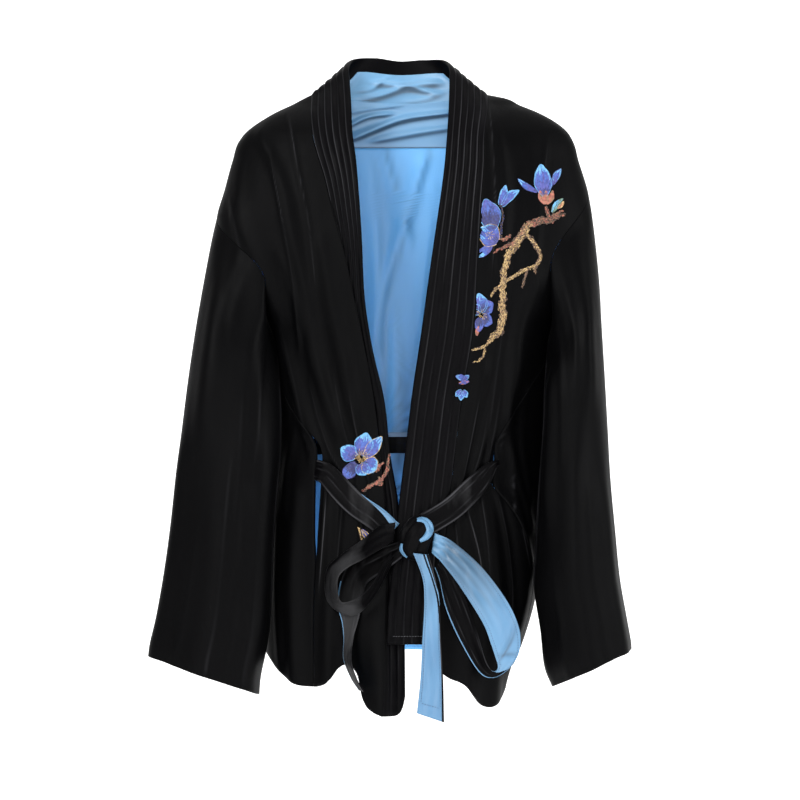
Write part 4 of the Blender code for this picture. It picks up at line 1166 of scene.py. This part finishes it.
PILE_BOTH = [VELVET_BELT, VELVET_BELT]
PILE_OUT = [VELVET_BELT, SASH]
SATIN_OUT = [SASH, VELVET_BELT]
BELT_STEPS = 220
ribbon("belt_cloth", "belt", *belt_edges(BELT_STEPS), PILE_OUT, BELT_STEPS, paint_belt, across=26,
       flip=True, gather=0.35, rests="back_panel", split=belt_split, inside=inside_belt)
ribbon("left_loop_cloth", "left_loop", *placed(LEFT_LOOP), PILE_BOTH, 150, gather=0.8)
right_loop, right_loop_away = ribbon(
    "right_loop_cloth", "right_loop", *placed(RIGHT_LOOP), SATIN_OUT, 170, paint_right_loop,
    slot="belt_satin", gather=0.7, dents=LOOP_DENTS, painted_shade=painted_shade_right_loop)
long_tail, long_tail_away = ribbon(
    "long_tail_cloth", "long_tail", *placed(LONG_TAIL), SATIN_OUT, 100, paint_long_tail,
    across=49, slot="belt_satin", flip=True, gather=0.4, painted_shade=painted_shade_long_tail)
ribbon("short_tail_cloth", "short_tail", *placed(SHORT_TAIL), PILE_OUT, 110, paint_short_tail, gather=0.5)


# Knot: a core, a wrap of pile over it and the satin of the last turn

# across, height, out of the cloth, half width, half height, half depth
KNOT = (17.0, -463.0, 17.0, 19.0, 24.0, 15.0)
# across, height, out of the core, half width
PILE_WRAP = [(12, 21, 0.2, 6), (5, 13, 1.6, 8), (-2, 3, 2.2, 9), (-6, -9, 1.6, 8), (-4, -20, 0.2, 5)]
SATIN_WRAP = [
    (1, 20, 1.0, 2.2), (8, 20, 2.4, 3.4), (13.5, 15, 3.2, 4.2), (14.5, 8, 3.0, 4.2), (10.5, 2, 2.4, 3.4),
    (4, -2, 1.2, 2.0),
]
LOW_WRAP = [(-15, -5, 0.8, 1.2), (-15.8, -11, 1.4, 1.8), (-13.5, -16, 1.2, 1.6), (-9.5, -20, 0.4, 1.0)]


def knot_centre():
    x, z, away = KNOT[:3]
    return x, front_depth(x, z) - LAP - away - 1.5, z


def knot_front(dx, dz, out):
    x, y, z = knot_centre()
    wide, high, deep = KNOT[3:]
    inside = np.clip(1 - (dx / wide) ** 2 - (dz / high) ** 2, 0.02, 1)
    return np.stack([x + dx, y - deep * np.sqrt(inside) - out, z + dz], -1)


def wrap(name, rows, cloth):
    steps = 60
    line = smooth_line(rows, steps)
    along = np.gradient(line[:, :2], axis=0)
    along /= np.linalg.norm(along, axis=-1, keepdims=True)
    side = np.stack([-along[:, 1], along[:, 0]], -1)
    w = np.linspace(-1, 1, 15)[None, :]
    dx = line[:, :1] + side[:, :1] * line[:, 3:] * w
    dz = line[:, 1:2] + side[:, 1:2] * line[:, 3:] * w
    ridge = 0.35 * np.sin(w * 7 + np.arange(steps)[:, None] * 0.1)
    arch = 1 - w ** 2
    outer = knot_front(dx, dz, line[:, 2:3] * arch ** 0.5 + arch * (1.2 + ridge))
    inner = knot_front(dx, dz, line[:, 2:3] * 0.4 - 1.4)
    piece = shell(name, outer, inner, [cloth, cloth])
    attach(piece, "root")


def make_knot():
    x, y, z = knot_centre()
    wide, high, deep = KNOT[3:]
    rings, around = 60, 90
    lat = math.pi * (np.arange(rings) + 0.5)[:, None] / rings
    lon = 2 * math.pi * np.arange(around)[None, :] / around
    swell = 0.9 + 0.07 * np.sin(3 * lon + 2.2 * lat) + 0.05 * np.cos(5 * lat)
    crease = np.exp(-((np.sin(2.5 * lon + 3.1 * lat + 0.6)) / 0.16) ** 2) * np.sin(lat)
    swell = swell - 0.06 * crease
    points = np.stack([x + wide * np.sin(lat) * np.cos(lon) * swell,
                       y + deep * np.sin(lat) * np.sin(lon) * swell,
                       z + high * np.cos(lat) + 0 * lon], -1)
    flat = points.reshape(-1, 3)
    poles = np.array([flat[:around].mean(0), flat[-around:].mean(0)])
    faces = quads(rings, around, 0, True, True).tolist()
    last = (rings - 1) * around
    for c in range(around):
        d = (c + 1) % around
        faces.append((c, d, rings * around))
        faces.append((last + d, last + c, rings * around + 1))
    piece = mesh_object("knot_cloth", np.concatenate([flat, poles]), faces, [VELVET_BELT])
    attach(piece, "root")
    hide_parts("knot")


make_knot()
wrap("knot_pile_wrap", PILE_WRAP, VELVET_BELT)
wrap("knot_satin_wrap", SATIN_WRAP, SASH)
wrap("knot_low_wrap", LOW_WRAP, SASH)


# Embroidery in thread: every stitch is a small raised strand laid on the cloth

PALETTE = list(THREADS)
SEAM_CLEAR = 1.2
RIM_THREAD = 0.75
THREAD_LIFT = 0.15
PHOTO_SCALE = 1.08
PHOTO_MIDDLE = 400
PHOTO_ORIGIN_ROW = 108


class Stitches:
    def __init__(self):
        self.rows = []

    def add(self, start, end, wide, high, colour, clip=None):
        if clip is None or clip(start, end):
            self.rows.append((start[0], start[1], end[0], end[1], wide, high, PALETTE.index(colour)))

    def make(self, name, base):
        # base(x, z, height) gives the place on the cloth
        data = np.array(self.rows)
        start, end = data[:, 0:2], data[:, 2:4]
        run = end - start
        length = np.maximum(np.linalg.norm(run, axis=-1, keepdims=True), 1e-6)
        side = np.stack([-run[:, 1], run[:, 0]], -1) / length
        along = np.array([0.0, 0.14, 0.5, 0.86, 1.0])
        width = np.array([0.3, 0.9, 1.0, 0.9, 0.3])
        lift = np.array([0.25, 0.8, 1.0, 0.8, 0.25])
        across = np.array([-1.0, 0.0, 1.0])
        rise = np.array([0.05, 1.0, 0.05])
        spot = start[:, None, None] + run[:, None, None] * along[None, :, None, None]
        spot = spot + side[:, None, None] * (data[:, 4, None, None] / 2 * width[:, None] * across)[..., None]
        height = data[:, 5, None, None] * lift[:, None] * rise
        points = base(spot[..., 0], spot[..., 1], height).reshape(-1, 3)
        cell = quads(5, 3)
        faces = (cell[None] + (np.arange(len(data)) * 15)[:, None, None]).reshape(-1, 4).tolist()
        slots = np.repeat(data[:, 6], len(cell))
        piece = mesh_object(name, points, faces, [THREADS[key] for key in PALETTE], slots)
        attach(piece, "root")


def petal(book, root, tip, wide, bend, dark, clip, edge, threads, seed):
    # long and short stitches fan from the root, darker there and paler at the rim
    root, tip = np.array(root, float), np.array(tip, float)
    run = tip - root
    length = np.linalg.norm(run)
    side = np.array([-run[1], run[0]]) / length

    def place(u, v):
        shape = (v + 0.02) ** 0.55 * (1.03 - min(v, 1.0)) ** 0.40 * 1.84
        wave = 1 + 0.05 * math.sin(9 * v + seed)
        tip_pull = 1 - 0.16 * u * u
        sideways = bend * math.sin(math.pi * v * 0.6) + u * wide / 2 * shape * wave
        return root + run * v * tip_pull + side * sideways

    for k in range(threads):
        u = -0.94 + 1.88 * k / (threads - 1)
        v = 0.02
        order = 0
        while v < 0.97:
            reach = (0.14 + 0.16 * chance(k + 1, order + 2, seed + 3))
            top = min(v + reach, 1.0)
            tone = v + reach / 2 + 0.22 * (chance(k + 5, order, seed) - 0.5) + 0.16 * abs(u) ** 3
            if dark:
                colour = "deep" if tone < 0.62 else "blue" if tone < 0.86 else "violet"
            elif tone < 0.16:
                colour = "deep"
            elif tone < 0.40:
                colour = "violet"
            elif tone < 0.74:
                colour = "blue" if chance(k, order + 7, seed) > 0.3 else "violet"
            elif tone < 0.88:
                colour = "blue" if chance(k, order + 9, seed) > 0.55 else "pale"
            else:
                colour = "pale"
            book.add(place(u, v), place(u * 0.99, top), wide / threads * 1.25 + 0.12,
                     0.42 + 0.16 * chance(k, order, 3), colour, clip)
            v = top - 0.03
            order += 1
    # the rim, up both sides and across the tip
    steps = 26
    for sign in (-1, 1):
        for k in range(steps):
            end = place(sign, min((k + 1.25) / steps, 1.0))
            book.add(place(sign, k / steps), end, RIM_THREAD, RIM_THREAD, edge, clip)
    for k in range(8):
        end = place(-1 + (k + 1.2) / 4, 1.0)
        book.add(place(-1 + k / 4, 1.0), end, RIM_THREAD, RIM_THREAD, edge, clip)


def along_line(line, where, at):
    return np.array([np.interp(at, where, column) for column in line.T])


def travelled(line):
    steps = np.linalg.norm(np.diff(line, axis=0), axis=-1)
    return np.concatenate([[0], np.cumsum(steps)])


def photo_place(px, py):
    # the photo's width of 800 pixels is 864 mm, and its row 108 is the origin's height
    return ((px - PHOTO_MIDDLE) * PHOTO_SCALE, (PHOTO_ORIGIN_ROW - py) * PHOTO_SCALE)


def branch(book, rows, colours, clip, seed):
    # rows of (px, py, width): knotty stitches slant to and fro along the branch
    rows = [(*photo_place(px, py), 0.84 * wide) for px, py, wide in rows]
    line = smooth_line(rows, 30 * len(rows))
    where = travelled(line[:, :2])
    count = int(where[-1] / 0.62)
    for n in range(count):
        at = where[-1] * (n + 0.5) / count
        x, z, wide = along_line(line, where, at)
        ahead = along_line(line[:, :2], where, min(at + 0.8, where[-1]))
        run = ahead - along_line(line[:, :2], where, max(at - 0.8, 0))
        run /= max(np.linalg.norm(run), 1e-6)
        side = np.array([-run[1], run[0]])
        strands = max(1, int(round(wide / 1.25)))
        for m in range(strands):
            u = ((m + 0.5) / strands - 0.5) + 1.3 * (chance(n + 1, m + 2, seed) - 0.5) / strands
            u = u + 0.12 * math.sin(n * 0.21 + seed) + 0.08 * math.sin(n * 0.57)
            middle = np.array([x, z]) + side * u * wide
            slant = 1.1 * (chance(n + 3, m, seed + 1) - 0.5)
            reach = 1.3 + 1.3 * chance(n, m + 4, seed)
            step = (run * math.cos(slant) + side * math.sin(slant)) * reach / 2
            pick = chance(n + 9, m + 1, seed + 5)
            tone = colours[min(int(pick * len(colours)), len(colours) - 1)]
            if abs(u) > 0.38 and chance(n, m, seed + 8) > 0.5:
                tone = "brown"
            book.add(middle - step, middle + step, 0.85, 0.5 + 0.45 * chance(n, m + 2, seed + 2), tone, clip)


def stamens(book, middle, reach, count, seed):
    for k in range(count):
        turn = 2 * math.pi * (k + 0.6 * chance(k, 3, seed)) / count
        size = reach * (0.45 + 0.55 * chance(k, 7, seed))
        way = np.array([math.cos(turn), math.sin(turn)])
        start = np.array(middle) + way * size * 0.3
        end = np.array(middle) + way * size
        book.add(start, end, 0.55, 0.95, "gold")
        book.add(end - way * 0.4, end + np.array([way[1], -way[0]]) * 0.9, 0.9, 1.15, "gold")


def right_clip(start, end):
    low = min(start[0], end[0])
    return low > float(read(RIGHT_SEAM, (start[1] + end[1]) / 2)) + SEAM_CLEAR


def bloom(book, rows, clip=None):
    # rows of root px, root py, tip px, tip py, width, bend, dark, edge
    for k, (rx, ry, tx, ty, wide, bend, dark, edge) in enumerate(rows):
        petal(book, photo_place(rx, ry), photo_place(tx, ty), wide, bend, dark, clip, edge,
              max(10, int(wide * 1.35)), k + 1)


def leaf(book, root, tip, wide, bend, colours, seed, clip=None):
    root = np.array(photo_place(*root))
    run = np.array(photo_place(*tip)) - root
    side = np.array([-run[1], run[0]]) / np.linalg.norm(run)
    threads = max(5, int(wide * 1.5))

    def spot(u, t):
        swell = u * wide / 2 * math.sin(math.pi * min(t * 0.9 + 0.08, 1))
        return root + run * t + side * (bend * math.sin(math.pi * t) + swell)

    for k in range(threads):
        u = -0.9 + 1.8 * k / (threads - 1)
        for n in range(4):
            tone = colours[int(chance(k, n, seed) * len(colours)) % len(colours)]
            end = spot(u, min((n + 1.2) / 4, 1.0))
            book.add(spot(u, n / 4), end, wide / threads * 1.3, 0.55, tone, clip)


WOOD = ["gold", "tan", "brown", "tan", "gold"]
GOLDEN = ["gold", "gold", "tan", "gold", "brown"]
ROSY = ["coral", "brown", "coral", "tan"]


def right_branch():
    book = Stitches()
    branch(book, [(564, 214, 3), (556, 218, 6), (547, 221, 8), (538, 222, 9), (527, 225, 8)],
           ["brown", "tan", "coral", "brown"], None, 2)
    branch(book, [(530, 223, 7), (524, 232, 9), (517, 243, 10), (510, 252, 9), (506, 262, 8), (503, 275, 8),
                  (502, 290, 8), (502, 305, 9), (502, 320, 9), (499, 331, 9), (494, 336, 8), (488, 342, 4)],
           GOLDEN, right_clip, 3)
    branch(book, [(526, 226, 6), (519, 236, 6), (511, 247, 6)], ["brown", "tan", "coral"], right_clip, 4)
    branch(book, [(524, 234, 3), (530, 240, 5), (536, 249, 5), (539, 258, 4), (537, 264, 4), (531, 268, 4)],
           WOOD, None, 5)
    branch(book, [(537, 260, 3), (534, 268, 3), (534, 274, 1.6)], ["brown", "tan"], None, 6)
    branch(book, [(532, 267, 3), (523, 271, 4), (513, 277, 4), (503, 283, 4), (495, 290, 3), (490, 297, 2)],
           GOLDEN, right_clip, 7)
    branch(book, [(526, 270, 2.5), (524, 279, 2.5), (521, 288, 2)], ["brown", "tan"], None, 8)
    branch(book, [(514, 243, 4), (506, 247, 4), (498, 250, 2.5), (493, 254, 2)], ROSY, right_clip, 9)
    branch(book, [(510, 236, 3), (505, 240, 4), (499, 240, 2)], ROSY, right_clip, 10)
    branch(book, [(500, 206, 2), (502, 218, 2), (500, 230, 2), (500, 240, 2)], ["deep", "brown"],
           right_clip, 11)
    branch(book, [(489, 341, 4), (484, 346, 3), (477, 349, 2.5), (471, 350, 2)], GOLDEN, right_clip, 12)
    branch(book, [(484, 348, 2.5), (482, 357, 2.5), (477, 361, 2), (472, 362, 1.6)], GOLDEN, right_clip, 13)
    branch(book, [(549, 218, 4), (546, 212, 4), (545, 207, 3)], ROSY, None, 14)
    branch(book, [(551, 217, 3), (557, 214, 4), (562, 211, 2)], ROSY, None, 15)
    # bud in bloom at the shoulder
    bloom(book, [(547, 192, 551, 176, 4, -2, False, "deep"), (552, 185, 562, 170, 7, 2, False, "deep"),
                 (537, 193, 520, 177, 6, 4, False, "deep"), (544, 197, 540, 165, 18, 0, False, "pale")])
    for root_x, tip_x, bend in ((544, 539, 1.5), (546, 552, -1.5), (545, 545, 0)):
        leaf(book, (root_x, 205), (tip_x, 191), 6.5, bend, ["coral", "coral", "tan"], root_x)
    leaf(book, (551, 213), (562, 199), 7, 1.0, ["green", "green", "pale"], 21)
    leaf(book, (556, 209), (563, 202), 4, -1.0, ["coral", "gold"], 22)
    # wide bloom cut off by the collar's seam
    bloom(book, [(499, 206, 503, 186, 8, -2, False, "pale"), (501, 207, 521, 195, 9, 5, False, "pale"),
                 (492, 232, 482, 201, 22, -3, True, "pale"), (497, 243, 478, 231, 24, -2, False, "gold"),
                 (495, 226, 497, 207, 12, 2, True, "deep"),
                 (491, 246, 474, 256, 9, 2, False, "violet")], right_clip)
    stamens(book, photo_place(489, 236), 5, 9, 4)
    # lower bloom
    bloom(book, [(480, 311, 478, 294, 14, 0, False, "pale"), (481, 312, 493, 305, 15, 2, True, "blue"),
                 (479, 314, 470, 306, 12, 0, True, "pale"), (482, 317, 492, 322, 13, -2, True, "blue"),
                 (479, 318, 478, 332, 9, 0, True, "violet"),
                 (480, 313, 485, 299, 9, 0, True, "pale")], right_clip)
    stamens(book, photo_place(481, 315), 6, 12, 6)
    leaf(book, (476, 336), (478, 326), 4, 0.5, ["coral", "coral", "tan"], 24, right_clip)
    return book


def band_bits():
    # what of the bloom crosses the collar band lies on its channels
    book = Stitches()
    bloom(book, [(466, 379, 455, 376, 6, 0, False, "violet"), (462, 380, 468, 375, 5, 0, False, "deep")])
    leaf(book, (468, 381), (458, 383), 4, 0.4, ["coral", "violet"], 31)
    bloom(book, [(461, 390, 455, 396, 6, 0, False, "pale"), (462, 390, 466, 397, 6, 0, False, "pale"),
                 (461, 391, 460, 400, 6, 0, False, "pale")])
    return book


def left_bloom():
    book = Stitches()
    branch(book, [(390, 453, 1.6), (388, 461, 3), (387, 470, 4), (383, 477, 4), (376, 482, 4),
                  (369, 486, 4), (363, 490, 3)], ROSY, None, 16)
    branch(book, [(384, 462, 2), (379, 466, 4), (376, 471, 3)], ROSY, None, 17)
    branch(book, [(379, 476, 3), (381, 483, 4), (377, 483, 2)], ROSY, None, 18)
    bloom(book, [(357, 462, 344, 478, 14, 0, True, "deep"), (361, 455, 366, 432, 19, -1, False, "pale"),
                 (365, 457, 382, 436, 13, 0, False, "gold"), (356, 457, 342, 447, 18, 0, False, "pale"),
                 (364, 461, 376, 470, 20, 1, False, "gold"), (360, 463, 366, 474, 15, 0, False, "pale")])
    stamens(book, photo_place(362, 456), 10, 26, 8)
    branch(book, [(359, 526, 1.6), (361, 533, 2), (363, 539, 2)], ["gold"], None, 19)
    leaf(book, (362, 528), (372, 541), 7, 0, ["deep", "violet", "gold"], 33)
    return book


def on_right(x, z, height):
    return on_front(x, z, lap(x, z) + THREAD_LIFT + height)


def on_band(x, z, height):
    return on_front(x, z, lap(x, z) + RELIEF + 0.35 + height)


def on_left(x, z, height):
    return on_front(x, z, THREAD_LIFT + height)


right_branch().make("embroidery_right", on_right)
band_bits().make("embroidery_band", on_band)
left_bloom().make("embroidery_left", on_left)


# Machine stitching along the sash and the collar's foot

def stitch_row(name, lines, length, gap, thick, made_of):
    # a row of short capsules along each line, a line being points with the way out of the cloth
    points, faces = [], []
    start = 0
    ring = np.linspace(0, 2 * math.pi, 7)[:-1]
    for line, away in lines:
        where = travelled(line)
        for at in np.arange(gap, where[-1] - length, length + gap):
            ends = [along_line(line, where, at + length * share) for share in (0, 0.5, 1)]
            out = along_line(away, where, at + length / 2)
            run = ends[2] - ends[0]
            side = np.cross(run, out)
            side /= max(np.linalg.norm(side), 1e-9)
            for centre, size, lift in zip(ends, (0.5, 1, 0.5), (0, 0.3, 0)):
                for turn in ring:
                    spoke = side * math.cos(turn) + out * math.sin(turn)
                    points.append(centre + out * lift + spoke * thick * size)
            faces += quads(3, 6, start, False, True).tolist()
            start += 18
    piece = mesh_object(name, np.array(points), faces, [made_of])
    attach(piece, "root")


def ribbon_line(outer, away, w, first, last):
    columns = outer.shape[1]
    k = int(round(w * (columns - 1)))
    low, high = int(first * (len(outer) - 1)), int(last * (len(outer) - 1))
    return outer[low:high, k] + away[low:high, k] * 0.2, away[low:high, k]


def cross_line(outer, away, row, first, last, lift):
    return outer[row, first:last] + away[row, first:last] * lift, away[row, first:last]


stitch_row("sash_stitching", [
    ribbon_line(long_tail, long_tail_away, 0.11, 0.10, 0.95),
    ribbon_line(long_tail, long_tail_away, 0.85, 0.45, 0.95),
    cross_line(long_tail, long_tail_away, -7, 5, 42, 0.2),
    ribbon_line(right_loop, right_loop_away, 0.10, 0.04, 0.58),
    ribbon_line(right_loop, right_loop_away, 0.90, 0.04, 0.55),
], 2.0, 0.9, 0.22, STITCH)
stitch_row("band_foot_stitching", [cross_line(band_face, band_normal, -3, 5, -4, 0.15)],
           2.2, 0.8, 0.3, HEM_STITCH)


# Stage, light and camera

def make_stage():
    # a pale floor under the hem and a lit white sweep behind
    # it lies further out than the camera, so it hides nothing from any side
    low, size, front, back, high = -1.02, 14.0, -12.0, 8.5, 10.0
    curve = 2.5
    profile = [(front, low), (back - curve, low)]
    for k in range(1, 13):
        turn = math.radians(90 * k / 12)
        profile.append((back - curve + curve * math.sin(turn), low + curve * (1 - math.cos(turn))))
    profile.append((back, high))
    points, faces = [], []
    for k, (y, z) in enumerate(profile):
        points += [(-size, y, z), (size, y, z)]
        if k:
            faces.append((2 * k - 2, 2 * k - 1, 2 * k + 1, 2 * k))
    mesh = bpy.data.meshes.new("sweep")
    mesh.from_pydata(points, [], faces)
    mesh.polygons.foreach_set("use_smooth", np.full(len(faces), True))
    shade = Shade("white_sweep", (0.9, 0.9, 0.9), 0.9, specular=0.0)
    shade.set("Emission Color", (1, 1, 1, 1))
    shade.set("Emission Strength", 0.82)
    mesh.materials.append(shade.made)
    linked("sweep", mesh)


def area_light(name, place, target, size, power_w):
    data = bpy.data.lights.new(name, "AREA")
    data.shape = "RECTANGLE"
    data.size, data.size_y = size
    data.energy = power_w
    light = linked(name, data)
    light.location = place
    light.rotation_euler = (Vector(target) - Vector(place)).to_track_quat("-Z", "Y").to_euler()


# metres, as the stage and lights are
MIDDLE = -0.315
DISTANCE = 7.0
VIEW_WIDTH = 0.864
SENSOR = 36


def make_camera():
    data = bpy.data.cameras.new("camera")
    data.sensor_width = SENSOR
    data.lens = SENSOR * DISTANCE / VIEW_WIDTH
    camera = linked("camera", data)
    camera.location = (0, -DISTANCE, MIDDLE)
    camera.rotation_euler = (math.radians(90), 0, 0)
    bpy.context.scene.camera = camera


bpy.context.scene.view_settings.view_transform = "Standard"
make_stage()
area_light("key", (-1.3, -2.0, 1.2), (0, 0, -0.25), (0.9, 1.4), 60)
area_light("side", (1.9, -0.9, 0.3), (0, 0, -0.3), (0.6, 1.8), 34)
area_light("top", (0.1, 0.2, 1.9), (0, 0, -0.1), (2.0, 1.4), 15)
area_light("front", (0.1, -3.2, -0.1), (0, 0, -0.2), (0.8, 0.8), 30)
world = bpy.data.worlds.new("studio")
world.use_nodes = True
world.node_tree.nodes["Background"].inputs["Color"].default_value = (1, 1, 1, 1)
world.node_tree.nodes["Background"].inputs["Strength"].default_value = 0.45
bpy.context.scene.world = world
make_camera()
